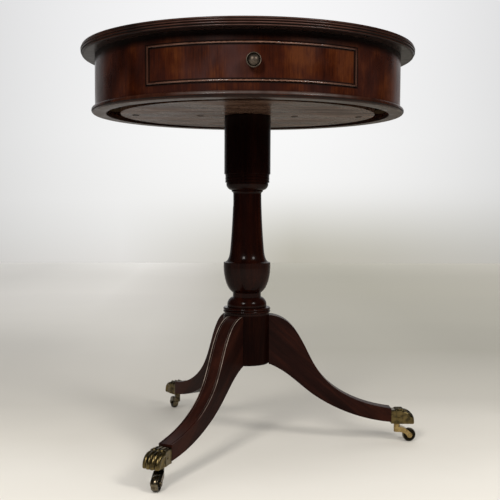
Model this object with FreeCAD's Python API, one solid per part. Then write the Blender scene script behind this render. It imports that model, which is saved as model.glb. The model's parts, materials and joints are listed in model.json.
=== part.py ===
import FreeCAD, Part
import math
import os

Vec = FreeCAD.Vector
CENTRE = Vec(0, 0, 0)
X_AXIS = Vec(1, 0, 0)
Y_AXIS = Vec(0, 1, 0)
Z_AXIS = Vec(0, 0, 1)
FULL_TURN = 360.0

# A round pedestal table: the origin is on the floor under the column, the drawer faces -Y
# and the right leg points along +X. All lengths are in millimetres.

# Overall sizes
TABLE_HEIGHT = 610.0
TOP_DIAMETER = 508.0

# Clearances used by every joint
GLUE_GAP = 0.1
RUN_GAP = 0.3
SHAFT_GAP = 0.05
OVERRUN = 2.0

# Top board with a reeded edge, and the leather let into it
TOP_THICKNESS = 12.5
REED_SETBACKS = (1.8, 0.3, 0.0, 1.3)
REED_DEPTH = 1.4
LEATHER_BORDER = 44.0
LEATHER_THICKNESS = 1.2

# Drum: the frieze wall and the half-round moulding under it
FRIEZE_DIAMETER = 466.0
FRIEZE_THICKNESS = 14.0
FRIEZE_HEIGHT = 77.0
MOULDING_HEIGHT = 9.0
MOULDING_PROJECTION = 5.5
MOULDING_LEDGE = 2.5

# Drawer opening in the frieze
WINDOW_WIDTH = 280.0
WINDOW_HEIGHT = 52.0
LOWER_RAIL_HEIGHT = 11.0

# Drawer
DRAWER_SIDE_GAP = 0.6
DRAWER_TOP_GAP = 0.7
FRONT_THICKNESS = 20.0
SIDE_THICKNESS = 8.0
BACK_THICKNESS = 8.0
BACK_DROP = 5.0
BOTTOM_THICKNESS = 5.0
BOTTOM_RISE = 4.5
BOTTOM_GROOVE = 4.0
DRAWER_BACK_SPACE = 28.0
COCKBEAD_WIDTH = 3.0
COCKBEAD_DEPTH = 8.0
COCKBEAD_PROJECTION = 2.0
COCKBEAD_ROUND = 1.3
TAIL_COUNT = 3
TAIL_LENGTH = 12.0
TAIL_NECK = 9.0
TAIL_SPREAD = 1.6

# Knob and the screw that holds it
KNOB_DIAMETER = 19.5
KNOB_LENGTH = 16.5
KNOB_ROSE_DIAMETER = 13.0
KNOB_ROSE_THICKNESS = 1.8
KNOB_NECK_DIAMETER = 8.4
KNOB_RIM_WIDTH = 1.6
KNOB_GROOVE_WIDTH = 0.7
KNOB_GROOVE_DEPTH = 1.2
KNOB_HEIGHT_SHARES = (0.32, 0.58, 0.7)
KNOB_WAIST_SHARES = (0.2, 0.45)
KNOB_BELLY_SHARES = (0.72, 0.45)
KNOB_SCREW_DIAMETER = 4.0
KNOB_SCREW_REACH = 9.0
KNOB_SCREW_HEAD_DIAMETER = 9.0
KNOB_SCREW_HEAD_HEIGHT = 2.4
KNOB_SCREW_SEAT = 0.6

# Frame inside the drum that carries the drawer
RUNNER_WIDTH = 36.0
GUIDE_WIDTH = 12.0
GUIDE_HEIGHT = 18.0
KICKER_WIDTH = 27.0
STOP_LENGTH = 18.0
STOP_HEIGHT = 13.0
BEARER_WIDTH = 56.0
GLUE_BLOCK_LENGTH = 40.0
GLUE_BLOCK_SIZE = 16.0
GLUE_BLOCK_AZIMUTHS = (-20.0, 20.0, 70.0, 110.0, 160.0, 200.0)

# Disc under the drum, screwed to the bearer
DISC_DIAMETER = 390.0
DISC_RECESS = 1.0
DISC_SCREW_INNER = 73.0
DISC_SCREW_OUTER = 173.0

# Countersunk wood screws through the disc and the kickers, and the slot of every screw
SCREW_DIAMETER = 3.5
SCREW_HEAD_DIAMETER = 7.0
SCREW_HEAD_HEIGHT = 2.2
SCREW_BITE = 8.0
SLOT_WIDTH = 0.8
SLOT_DEPTH = 0.8

# Turned column, from the hub up
COLUMN_FOOT_TENON_LENGTH = 50.0
COLUMN_FOOT_TENON_DIAMETER = 30.0
FOOT_RECESS_DIAMETER = 70.0
FOOT_RECESS_HEIGHT = 3.6
FOOT_RING_DIAMETER = 73.8
FOOT_BEAD_HEIGHT = 4.0
FOOT_BEAD_ROUND = 1.4
FOOT_TORUS_DIAMETER = 60.8
FOOT_TORUS_HEIGHT = 15.7
FOOT_SHOULDER_DIAMETER = 47.2
NECK_DIAMETER = 44.0
NECK_HEIGHT = 7.0
VASE_DIAMETER = 73.2
VASE_HEIGHT = 39.2
VASE_RIM_HEIGHT = 8.3
SHAFT_DIAMETER = 43.8
CAPITAL_COVE_HEIGHT = 3.2
CAPITAL_FILLET_HEIGHT = 2.0
CAPITAL_FILLET_DIAMETER = 49.2
CAPITAL_OVOLO_HEIGHT = 11.9
CAPITAL_OVOLO_DIAMETER = 65.2
STEP_DIAMETER = 68.8
STEP_HEIGHT = 13.0
STEP_GROOVE = 0.7
COLLAR_DIAMETER = 72.0
COLLAR_HEIGHT = 90.0
COLUMN_HEAD_TENON_DIAMETER = 30.0
FOOT_TORUS_MID_SHARES = (0.86, 0.62)
VASE_SHARES = ((0.0, 0.0), (0.43, 0.16), (0.74, 0.41), (0.93, 0.7), (1.0, 1.0))
SHAFT_SHARES = ((1.0, 0.0), (0.66, 0.022), (0.45, 0.075), (0.3, 0.19), (0.16, 0.44), (0.03, 0.8), (0.0, 1.0))
CAPITAL_COVE_SHARES = (0.3, 0.6)
CAPITAL_OVOLO_SHARES = (0.75, 0.3)
STEP_GROOVE_SHARES = (0.3, 0.66)

# Hub that the legs slide into from below
HUB_DIAMETER = 72.6
HUB_BOTTOM_HEIGHT = 127.0
HUB_HEIGHT = 76.5
HUB_CHAMFER = 2.0

# Sabre legs with a sliding dovetail at the hub and a square tenon at the toe
LEG_NAMES = ("right", "back_left", "front_left")
LEG_REACH = 229.0
LEG_ROOT_WIDTH = 25.0
LEG_TOE_WIDTH = 21.5
LEG_ROOT_DROP = 1.0
LEG_TOE_BOTTOM = 33.0
LEG_TOE_HEIGHT = 21.5
LEG_TOP_SHARES = (
    (0.0, 1.0), (0.07, 0.98), (0.134, 0.935), (0.235, 0.785), (0.335, 0.54),
    (0.43, 0.348), (0.63, 0.145), (0.83, 0.044), (1.0, 0.0),
)
LEG_BOTTOM_SHARES = ((0.0, 1.0), (0.135, 0.843), (0.333, 0.514), (0.531, 0.269), (0.73, 0.108), (1.0, 0.0))
LEG_LINE_INSET = 2.2
LEG_LINE_WIDTH = 1.2
LEG_LINE_DEPTH = 0.9
DOVETAIL_DEPTH = 12.0
DOVETAIL_NECK = 11.0
DOVETAIL_SPREAD = 2.5
DOVETAIL_SHOULDER = 10.0
TOE_TENON_LENGTH = 16.0
TOE_TENON_WIDTH = 13.0
TOE_TENON_HEIGHT = 9.5
TOE_TENON_RISE = 4.5

# Cast paw cups with four toes
PAW_LENGTH = 38.0
PAW_BOTTOM = 30.0
PAW_HEIGHT = 21.5
PAW_COLLAR_WIDTH = 20.5
PAW_COLLAR_LENGTH = 4.0
PAW_WIDTH = 25.0
PAW_NOSE_RADIUS = 16.0
PAW_FLOOR = 5.0
PAW_CROWN_ROUND = 3.0
TOE_COUNT = 4
TOE_RADIUS = 4.0
TOE_PITCH = 6.3
TOE_LIFT = 2.5
TOE_OUTER_PULL = 1.4
TOE_FLANK = 2.6
TOE_START_ANGLE = -4.0
TOE_END_ANGLE = 92.0
PAW_FLARE_SHARE = 0.45
TUFT_RADIUS = 3.0
TUFT_SINK = 1.2
TUFT_START = 9.0
TUFT_LENGTH = 9.0
PAW_SCREW_REACH = 11.0
PAW_SCREW_RISE = 10.0
PAW_SCREW_LENGTH = 8.0
PAW_SCREW_DIAMETER = 2.6
PAW_SCREW_HEAD_DIAMETER = 5.0
PAW_SCREW_HEAD_HEIGHT = 1.4

# Swivel casters riveted under the paw cups
CASTER_PIN_REACH = 11.0
CASTER_TRAIL = 19.5
CASTER_REST_TURNS = {"right": 0.0, "back_left": -9.0, "front_left": 17.0}
WHEEL_DIAMETER = 21.0
WHEEL_WIDTH = 9.5
WHEEL_HUB_DIAMETER = 8.0
WHEEL_RIM = 2.6
WHEEL_DISH = 1.2
AXLE_DIAMETER = 3.2
AXLE_HEAD_DIAMETER = 5.0
AXLE_HEAD_HEIGHT = 0.8
HORN_CHEEK = 1.9
HORN_SLOT_GAP = 0.4
HORN_WHEEL_GAP = 0.9
HORN_DROP = 6.0
HORN_SPREAD_REACH = 8.0
HORN_EYE_DIAMETER = 8.4
HORN_EYE_ANGLES = (45.0, -57.5, -160.0)
HORN_OUTER_SHARES = ((0.0, 0.0), (0.15, 0.002), (0.3, 0.03), (0.55, 0.235), (0.8, 0.626), (1.0, 1.0))
HORN_INNER_SHARES = ((0.0, 0.0), (0.28, 0.74), (0.62, 1.0), (1.0, 1.0))
HORN_BOSS_DIAMETER = 9.6
HORN_BOSS_HEIGHT = 14.5
PIN_DIAMETER = 5.0
PIN_HEAD_DIAMETER = 9.0
PIN_HEAD_HEIGHT = 1.6

# Levels and radii that follow from the sizes above
top_underside = TABLE_HEIGHT - TOP_THICKNESS
leather_bottom = TABLE_HEIGHT - LEATHER_THICKNESS
frieze_bottom = top_underside - FRIEZE_HEIGHT
moulding_bottom = frieze_bottom - MOULDING_HEIGHT
disc_bottom = moulding_bottom + DISC_RECESS
window_bottom = frieze_bottom + LOWER_RAIL_HEIGHT
window_top = window_bottom + WINDOW_HEIGHT
hub_top = HUB_BOTTOM_HEIGHT + HUB_HEIGHT

top_radius = TOP_DIAMETER / 2
leather_radius = top_radius - LEATHER_BORDER
drum_radius = FRIEZE_DIAMETER / 2
drum_inside = drum_radius - FRIEZE_THICKNESS
moulding_inside = drum_inside - MOULDING_LEDGE
disc_radius = DISC_DIAMETER / 2
hub_radius = HUB_DIAMETER / 2

window_half = WINDOW_WIDTH / 2
drawer_half = window_half - DRAWER_SIDE_GAP
drawer_inside_half = drawer_half - SIDE_THICKNESS
drawer_bottom = window_bottom + RUN_GAP
drawer_top = window_top - DRAWER_TOP_GAP
front_inside = drum_radius - FRONT_THICKNESS
runner_outer = window_half + GUIDE_WIDTH
runner_inner = runner_outer - RUNNER_WIDTH
drawer_end = math.sqrt(drum_inside ** 2 - runner_outer ** 2) - DRAWER_BACK_SPACE
board_bottom = drawer_bottom + BOTTOM_RISE
board_top = board_bottom + BOTTOM_THICKNESS

pin_radius = LEG_REACH + CASTER_PIN_REACH
boss_top = PAW_BOTTOM - RUN_GAP
paw_tip = LEG_REACH + PAW_LENGTH
wheel_radius = WHEEL_DIAMETER / 2
slot_half = WHEEL_WIDTH / 2 + HORN_SLOT_GAP
horn_half = slot_half + HORN_CHEEK


def box(x_span, y_span, z_span):
    """A block between two values on each axis."""
    low = Vec(x_span[0], y_span[0], z_span[0])
    return Part.makeBox(x_span[1] - x_span[0], y_span[1] - y_span[0], z_span[1] - z_span[0], low)


def rod(radius, start, end):
    """A round bar between two points."""
    run = end.sub(start)
    return Part.makeCylinder(radius, run.Length, start, run)


def post(radius, bottom, top):
    """A round bar on the table's axis."""
    return rod(radius, Vec(0, 0, bottom), Vec(0, 0, top))


def ring(outer, inner, bottom, top):
    """A flat-topped ring on the table's axis."""
    return post(outer, bottom, top).cut(post(inner, bottom - OVERRUN, top + OVERRUN))


def line(start, end):
    return Part.LineSegment(start, end).toShape()


def arc(start, middle, end):
    return Part.Arc(start, middle, end).toShape()


def spline(points):
    curve = Part.BSplineCurve()
    curve.interpolate(points)
    return curve.toShape()


def dome(radius, bottom, top):
    """A round cap's outline, from its edge to the axis, with its centre on the axis."""
    rise = top - bottom
    ball = (radius ** 2 + rise ** 2) / (2 * rise)
    half_angle = math.atan2(radius, bottom - top + ball) / 2
    middle = rz(ball * math.sin(half_angle), top - ball + ball * math.cos(half_angle))
    return arc(rz(radius, bottom), middle, rz(0, top))


def polyline(points):
    """Straight edges through the points."""
    return [line(a, b) for a, b in zip(points, points[1:])]


def prism(points, run):
    """A closed straight-sided outline pushed along a vector."""
    return Part.Face(Part.makePolygon(points + points[:1])).extrude(run)


def turned(edges):
    """A closed outline in the XZ plane turned about the table's axis."""
    return Part.Face(Part.Wire(edges)).revolve(CENTRE, Z_AXIS, FULL_TURN)


def rz(radius, height):
    """A point of a turned outline."""
    return Vec(radius, 0, height)


def between(start, end, shares):
    """The point at a share of the way from start to end, in radius and in height."""
    radius = start.x + (end.x - start.x) * shares[0]
    height = start.z + (end.z - start.z) * shares[1]
    return rz(radius, height)


def spun(shape, degrees):
    """A copy turned about the table's axis."""
    copy = shape.copy()
    copy.rotate(CENTRE, Z_AXIS, degrees)
    return copy


def moved(shape, offset):
    copy = shape.copy()
    copy.translate(offset)
    return copy


def mirrored(shape):
    """The same piece on the other side of the drawer."""
    return shape.mirror(CENTRE, X_AXIS)


def driver_slot(seat, run, head_diameter):
    """The cutter for a screwdriver's slot across a head that faces away from the run."""
    slot = box((-head_diameter, head_diameter), (-SLOT_WIDTH / 2, SLOT_WIDTH / 2), (-OVERRUN, SLOT_DEPTH))
    slot.Placement = FreeCAD.Placement(seat, FreeCAD.Rotation(Z_AXIS, run))
    return slot


def wood_screw(seat, run, gap, length, diameter, head_diameter, head_height):
    """A slotted countersunk screw, flush at its seat, along a unit vector; with a gap, its plain hole."""
    head = Part.makeCone(head_diameter / 2 + gap, diameter / 2 + gap, head_height, seat, run)
    screw = head.fuse(rod(diameter / 2 + gap, seat, seat + run * (length + gap))).removeSplitter()
    return screw if gap else screw.cut(driver_slot(seat, run, head_diameter))


def make_top_board():
    """A disc whose edge carries a row of half-round reeds, recessed for the leather."""
    crests = [top_radius - setback for setback in REED_SETBACKS]
    roots = [min(pair) - REED_DEPTH for pair in zip(crests[:1] + crests, crests + crests[-1:])]
    reed = TOP_THICKNESS / len(crests)
    edges = [line(rz(0, top_underside), rz(roots[0], top_underside))]
    for index, crest in enumerate(crests):
        low = top_underside + reed * index
        edges.append(arc(rz(roots[index], low), rz(crest, low + reed / 2), rz(roots[index + 1], low + reed)))
    edges += polyline([rz(roots[-1], TABLE_HEIGHT), rz(0, TABLE_HEIGHT), rz(0, top_underside)])
    board = turned(edges).cut(post(leather_radius + GLUE_GAP, leather_bottom, TABLE_HEIGHT + OVERRUN))
    return board.cut(Part.makeCompound(kicker_screw_list(GLUE_GAP)))


def make_leather_inset():
    return post(leather_radius, leather_bottom, TABLE_HEIGHT)


def make_frieze_wall():
    """The drum's curved wall, from one cheek of the drawer opening round the back to the other."""
    wall = ring(drum_radius, drum_inside, frieze_bottom, top_underside)
    return wall.cut(box((-window_half, window_half), (-drum_radius, 0), (frieze_bottom, top_underside)))


def make_frieze_rail(bottom, top):
    """A bowed rail that closes the wall above or below the drawer."""
    rail = ring(drum_radius, drum_inside, bottom, top)
    return rail.common(box((-window_half, window_half), (-drum_radius, 0), (bottom, top)))


def make_base_moulding():
    """A ring under the frieze with a half-round nose and a ledge inside the wall."""
    nose = drum_radius + MOULDING_PROJECTION
    root = nose - MOULDING_HEIGHT / 2
    middle = moulding_bottom + MOULDING_HEIGHT / 2
    edges = polyline([
        rz(root, frieze_bottom), rz(moulding_inside, frieze_bottom),
        rz(moulding_inside, moulding_bottom), rz(root, moulding_bottom),
    ])
    edges.append(arc(rz(root, moulding_bottom), rz(nose, middle), rz(root, frieze_bottom)))
    return turned(edges)


def inside_drum(shape):
    """The piece with its ends scribed to the inside of the frieze."""
    return shape.common(post(drum_inside - GLUE_GAP, frieze_bottom, top_underside))


def halving_height():
    return (frieze_bottom + window_bottom) / 2


def make_cross_bearer():
    """A rail across the drum, halved over the runners and bored for the column."""
    half = BEARER_WIDTH / 2
    rail = inside_drum(box((-drum_radius, drum_radius), (-half, half), (frieze_bottom, window_bottom)))
    halving = box((runner_inner, runner_outer), (-drum_radius, drum_radius), (halving_height(), window_top))
    rail = rail.cut(halving).cut(mirrored(halving))
    rail = rail.cut(post(COLUMN_HEAD_TENON_DIAMETER / 2 + GLUE_GAP, frieze_bottom - OVERRUN, window_top))
    return rail.cut(Part.makeCompound(disc_screw_list(GLUE_GAP)))


def make_runner():
    """The right-hand runner, flush with the rail under the drawer."""
    half = BEARER_WIDTH / 2
    rail = box((runner_inner, runner_outer), (-drum_radius, drum_radius), (frieze_bottom, window_bottom))
    halving = box((runner_inner, runner_outer), (-half, half), (frieze_bottom, halving_height()))
    return inside_drum(rail.cut(halving))


def make_guide():
    """A strip on the runner that keeps the drawer square."""
    return inside_drum(box(
        (window_half, runner_outer),
        (-drum_radius, drum_radius),
        (window_bottom, window_bottom + GUIDE_HEIGHT),
    ))


def make_kicker():
    """A strip under the top that stops the open drawer from tipping."""
    strip = inside_drum(box(
        (window_half - KICKER_WIDTH, window_half), (-drum_radius, drum_radius), (window_top, top_underside),
    ))
    return strip.cut(Part.makeCompound(kicker_screw_list(GLUE_GAP)))


def make_drawer_stops():
    """Two blocks on the runners that the drawer sides meet when it is shut."""
    block = box(
        (runner_inner, window_half),
        (drawer_end + RUN_GAP, drawer_end + RUN_GAP + STOP_LENGTH),
        (window_bottom, window_bottom + STOP_HEIGHT),
    )
    return Part.makeCompound([block, mirrored(block)])


def make_glue_blocks():
    """Corner blocks between the frieze and the top, clear of the drawer's path."""
    half = GLUE_BLOCK_LENGTH / 2
    block = inside_drum(box(
        (drum_inside - GLUE_BLOCK_SIZE, drum_radius),
        (-half, half),
        (top_underside - GLUE_BLOCK_SIZE, top_underside),
    ))
    return Part.makeCompound([spun(block, azimuth) for azimuth in GLUE_BLOCK_AZIMUTHS])


def make_underside_disc():
    disc = post(disc_radius, disc_bottom, frieze_bottom)
    mortise = COLUMN_HEAD_TENON_DIAMETER / 2 + GLUE_GAP
    disc = disc.cut(post(mortise, disc_bottom - OVERRUN, frieze_bottom + OVERRUN))
    return disc.cut(Part.makeCompound(disc_screw_list(GLUE_GAP)))


def disc_screw_list(gap):
    """Four screws in a row along the bearer, or their holes."""
    length = frieze_bottom - disc_bottom + SCREW_BITE
    sizes = (length, SCREW_DIAMETER, SCREW_HEAD_DIAMETER, SCREW_HEAD_HEIGHT)
    places = (-DISC_SCREW_OUTER, -DISC_SCREW_INNER, DISC_SCREW_INNER, DISC_SCREW_OUTER)
    return [wood_screw(rz(x, disc_bottom), Z_AXIS, gap, *sizes) for x in places]


def kicker_screw_list(gap):
    """Two screws up through each kicker into the top, or their holes."""
    length = top_underside - window_top + SCREW_BITE
    sizes = (length, SCREW_DIAMETER, SCREW_HEAD_DIAMETER, SCREW_HEAD_HEIGHT)
    across = window_half - KICKER_WIDTH / 2
    along = drum_inside / 2
    places = [Vec(x, y, window_top) for x in (-across, across) for y in (-along, along)]
    return [wood_screw(place, Z_AXIS, gap, *sizes) for place in places]


def foot_beads(crest, bottom):
    """The outlines of the two beads round the column's foot."""
    edge = crest - FOOT_BEAD_ROUND
    edges = []
    for low in (bottom, bottom + FOOT_BEAD_HEIGHT):
        middle = rz(crest, low + FOOT_BEAD_HEIGHT / 2)
        edges.append(arc(rz(edge, low), middle, rz(edge, low + FOOT_BEAD_HEIGHT)))
    return edges


def capital(shaft_top, step_bottom):
    """The outline from the shaft to the step: a cove, a fillet and an ovolo."""
    shaft, fillet = SHAFT_DIAMETER / 2, CAPITAL_FILLET_DIAMETER / 2
    cove_start, cove_end = rz(shaft, shaft_top), rz(fillet, shaft_top + CAPITAL_COVE_HEIGHT)
    ovolo_start = cove_end + rz(0, CAPITAL_FILLET_HEIGHT)
    ovolo_end = rz(CAPITAL_OVOLO_DIAMETER / 2, step_bottom)
    return [
        arc(cove_start, between(cove_start, cove_end, CAPITAL_COVE_SHARES), cove_end),
        line(cove_end, ovolo_start),
        arc(ovolo_start, between(ovolo_start, ovolo_end, CAPITAL_OVOLO_SHARES), ovolo_end),
        line(ovolo_end, rz(STEP_DIAMETER / 2, step_bottom)),
    ]


def grooved_step(step_bottom):
    """The outline of the step under the collar, with two scratched grooves."""
    step = STEP_DIAMETER / 2
    points = [rz(step, step_bottom)]
    for share in STEP_GROOVE_SHARES:
        middle = step_bottom + STEP_HEIGHT * share
        points += [
            rz(step, middle - STEP_GROOVE), rz(step - STEP_GROOVE, middle), rz(step, middle + STEP_GROOVE),
        ]
    return polyline(points + [rz(step, step_bottom + STEP_HEIGHT)])


def make_column():
    """The turned pillar: foot, vase, tapering shaft, capital and plain collar, with a tenon at each end."""
    head_tenon = COLUMN_HEAD_TENON_DIAMETER / 2
    foot_tenon = COLUMN_FOOT_TENON_DIAMETER / 2
    recess, neck, vase = FOOT_RECESS_DIAMETER / 2, NECK_DIAMETER / 2, VASE_DIAMETER / 2
    shaft, collar = SHAFT_DIAMETER / 2, COLLAR_DIAMETER / 2
    ring_crest, torus, shoulder = FOOT_RING_DIAMETER / 2, FOOT_TORUS_DIAMETER / 2, FOOT_SHOULDER_DIAMETER / 2
    ring_edge = ring_crest - FOOT_BEAD_ROUND

    tenon_bottom = hub_top - COLUMN_FOOT_TENON_LENGTH
    ring_bottom = hub_top + FOOT_RECESS_HEIGHT
    ring_top = ring_bottom + FOOT_BEAD_HEIGHT * 2
    neck_bottom = ring_top + FOOT_TORUS_HEIGHT
    neck_top = neck_bottom + NECK_HEIGHT
    rim_bottom = neck_top + VASE_HEIGHT
    rim_top = rim_bottom + VASE_RIM_HEIGHT
    collar_bottom = disc_bottom - COLLAR_HEIGHT
    step_bottom = collar_bottom - STEP_HEIGHT
    shaft_top = step_bottom - CAPITAL_OVOLO_HEIGHT - CAPITAL_FILLET_HEIGHT - CAPITAL_COVE_HEIGHT
    tenon_top = window_bottom - RUN_GAP

    edges = polyline([
        rz(0, tenon_bottom), rz(foot_tenon, tenon_bottom), rz(foot_tenon, hub_top), rz(recess, hub_top),
        rz(recess, ring_bottom), rz(ring_edge, ring_bottom),
    ])
    edges += foot_beads(ring_crest, ring_bottom)
    edges.append(line(rz(ring_edge, ring_top), rz(torus, ring_top)))
    torus_middle = between(rz(shoulder, ring_top), rz(torus, neck_bottom), FOOT_TORUS_MID_SHARES)
    edges.append(arc(rz(torus, ring_top), torus_middle, rz(shoulder, neck_bottom)))
    edges += polyline([rz(shoulder, neck_bottom), rz(neck, neck_bottom), rz(neck, neck_top)])
    edges.append(spline([between(rz(neck, neck_top), rz(vase, rim_bottom), s) for s in VASE_SHARES]))
    edges.append(line(rz(vase, rim_bottom), rz(vase, rim_top)))
    edges.append(spline([between(rz(shaft, rim_top), rz(vase, shaft_top), s) for s in SHAFT_SHARES]))
    edges += capital(shaft_top, step_bottom)
    edges += grooved_step(step_bottom)
    edges += polyline([
        rz(STEP_DIAMETER / 2, collar_bottom), rz(collar, collar_bottom), rz(collar, disc_bottom),
        rz(head_tenon, disc_bottom), rz(head_tenon, tenon_top), rz(0, tenon_top), rz(0, tenon_bottom),
    ])
    return turned(edges)


def dovetail(gap, bottom):
    """The sliding dovetail on the right leg, grown by a gap for its socket."""
    inner = hub_radius - DOVETAIL_DEPTH - gap
    outer = hub_radius + DOVETAIL_SPREAD
    wide = DOVETAIL_NECK / 2 + DOVETAIL_SPREAD + gap
    narrow = DOVETAIL_NECK / 2 + gap
    top = hub_top - DOVETAIL_SHOULDER + gap
    points = [
        Vec(inner, -wide, bottom), Vec(outer, -narrow, bottom),
        Vec(outer, narrow, bottom), Vec(inner, wide, bottom),
    ]
    return prism(points, Z_AXIS * (top - bottom))


def make_leg_hub():
    """The block under the column, bored for its tenon, with a dovetail socket for each leg."""
    chamfer = HUB_CHAMFER
    edges = polyline([
        rz(0, HUB_BOTTOM_HEIGHT), rz(hub_radius - chamfer, HUB_BOTTOM_HEIGHT),
        rz(hub_radius, HUB_BOTTOM_HEIGHT + chamfer), rz(hub_radius, hub_top), rz(0, hub_top),
        rz(0, HUB_BOTTOM_HEIGHT),
    ])
    bore_bottom = hub_top - COLUMN_FOOT_TENON_LENGTH - GLUE_GAP
    hub = turned(edges).cut(post(COLUMN_FOOT_TENON_DIAMETER / 2 + GLUE_GAP, bore_bottom, hub_top + OVERRUN))
    socket = dovetail(GLUE_GAP, HUB_BOTTOM_HEIGHT - OVERRUN)
    for azimuth in leg_azimuths().values():
        hub = hub.cut(spun(socket, azimuth))
    return hub


def leg_azimuths():
    """Each leg's direction, by name."""
    return {name: FULL_TURN / len(LEG_NAMES) * index for index, name in enumerate(LEG_NAMES)}


def leg_curve(start, end, shares):
    """One long edge of the leg's side, from the hub to the toe."""
    return [rz(start.x + (end.x - start.x) * s, end.z + (start.z - end.z) * t) for s, t in shares]


def leg_side(upper_drop, under_drop):
    """The leg's side outline, with its long edges lowered for the cutter of the scratched lines."""
    root = hub_radius - DOVETAIL_DEPTH / 2
    root_bottom = HUB_BOTTOM_HEIGHT - LEG_ROOT_DROP
    toe_top = LEG_TOE_BOTTOM + LEG_TOE_HEIGHT
    upper = leg_curve(rz(hub_radius, hub_top), rz(LEG_REACH, toe_top), LEG_TOP_SHARES)
    upper = [point - rz(upper_drop, upper_drop) for point in upper[:-1]] + [upper[-1] - rz(0, upper_drop)]
    under = leg_curve(rz(hub_radius, root_bottom), rz(LEG_REACH, LEG_TOE_BOTTOM), LEG_BOTTOM_SHARES)
    under = [point - rz(0, under_drop) for point in under]
    root_top = rz(root, upper[0].z)
    edges = [line(root_top, upper[0]), spline(upper), line(upper[-1], under[-1]), spline(under[::-1])]
    edges += polyline([under[0], rz(root, under[0].z), root_top])
    return Part.Face(Part.Wire(edges))


def leg_wedge(inset):
    """A tall wedge between the leg's two tapering sides, drawn in by an inset."""
    root = LEG_ROOT_WIDTH / 2 - inset
    toe = LEG_TOE_WIDTH / 2 - inset
    points = [Vec(0, -root, 0), Vec(LEG_REACH, -toe, 0), Vec(LEG_REACH, toe, 0), Vec(0, root, 0)]
    return prism(points, Z_AXIS * TABLE_HEIGHT)


def make_leg():
    """The right leg: a sabre curve that tapers to the toe, with a line scratched along each upper edge."""
    across = Y_AXIS * LEG_ROOT_WIDTH
    blank = moved(leg_side(0, 0).extrude(across), across * -0.5)
    lowered = moved(leg_side(LEG_LINE_DEPTH, OVERRUN).extrude(across), across * -0.5)
    lines = leg_wedge(LEG_LINE_INSET).cut(leg_wedge(LEG_LINE_INSET + LEG_LINE_WIDTH)).cut(lowered)
    leg = blank.common(leg_wedge(0)).cut(lines)
    leg = leg.cut(post(hub_radius + GLUE_GAP, 0, TABLE_HEIGHT))
    leg = leg.fuse(dovetail(0, HUB_BOTTOM_HEIGHT))
    leg = leg.fuse(toe_tenon(0, tenon_bottom()))
    return leg.cut(Part.makeCompound(paw_screw_pair(GLUE_GAP))).removeSplitter()


def tenon_bottom():
    return LEG_TOE_BOTTOM + TOE_TENON_RISE


def toe_tenon(gap, bottom):
    """The square tenon that the paw cup fits over, grown by a gap for its socket."""
    half = TOE_TENON_WIDTH / 2 + gap
    return box(
        (LEG_REACH - OVERRUN, LEG_REACH + TOE_TENON_LENGTH + gap),
        (-half, half),
        (bottom, tenon_bottom() + TOE_TENON_HEIGHT + gap),
    )


def paw_section(x, width):
    """An upright section of the paw cup with rounded upper corners."""
    half, top, curve = width / 2, PAW_BOTTOM + PAW_HEIGHT, PAW_CROWN_ROUND
    bend = curve * (1 - math.sqrt(0.5))
    left = [Vec(x, -half, PAW_BOTTOM), Vec(x, -half, top - curve), Vec(x, -half + curve, top)]
    right = [Vec(x, half - curve, top), Vec(x, half, top - curve), Vec(x, half, PAW_BOTTOM)]
    return Part.Wire([
        line(left[0], left[1]),
        arc(left[1], Vec(x, -half + bend, top - bend), left[2]),
        line(left[2], right[0]),
        arc(right[0], Vec(x, half - bend, top - bend), right[1]),
        line(right[1], right[2]),
        line(right[2], left[0]),
    ])


def knuckle_x():
    """Where the cup has flared to its full width."""
    return LEG_REACH + PAW_LENGTH * PAW_FLARE_SHARE


def make_toe(nose, offset, bend_radius):
    """One toe: a round finger bent over the nose of the paw, with a ball at each end."""
    hinge = nose + Y_AXIS * offset
    tip = hinge + X_AXIS * bend_radius
    disc = Part.Face(Part.Wire(Part.makeCircle(TOE_RADIUS, tip, Z_AXIS)))
    disc.rotate(hinge, -Y_AXIS, TOE_START_ANGLE)
    finger = disc.revolve(hinge, -Y_AXIS, TOE_END_ANGLE - TOE_START_ANGLE)
    for angle in (TOE_START_ANGLE, TOE_END_ANGLE):
        ball = Part.makeSphere(TOE_RADIUS, tip)
        ball.rotate(hinge, -Y_AXIS, angle)
        finger = finger.fuse(ball)
    return finger


def make_tuft(offset):
    """A tuft of hair behind the toes: a round-ended ridge along the top of the cup."""
    start = Vec(LEG_REACH + TUFT_START, offset, PAW_BOTTOM + PAW_HEIGHT - TUFT_SINK)
    end = start + X_AXIS * TUFT_LENGTH
    ridge = rod(TUFT_RADIUS, start, end)
    return ridge.fuse(Part.makeSphere(TUFT_RADIUS, start)).fuse(Part.makeSphere(TUFT_RADIUS, end))


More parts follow.
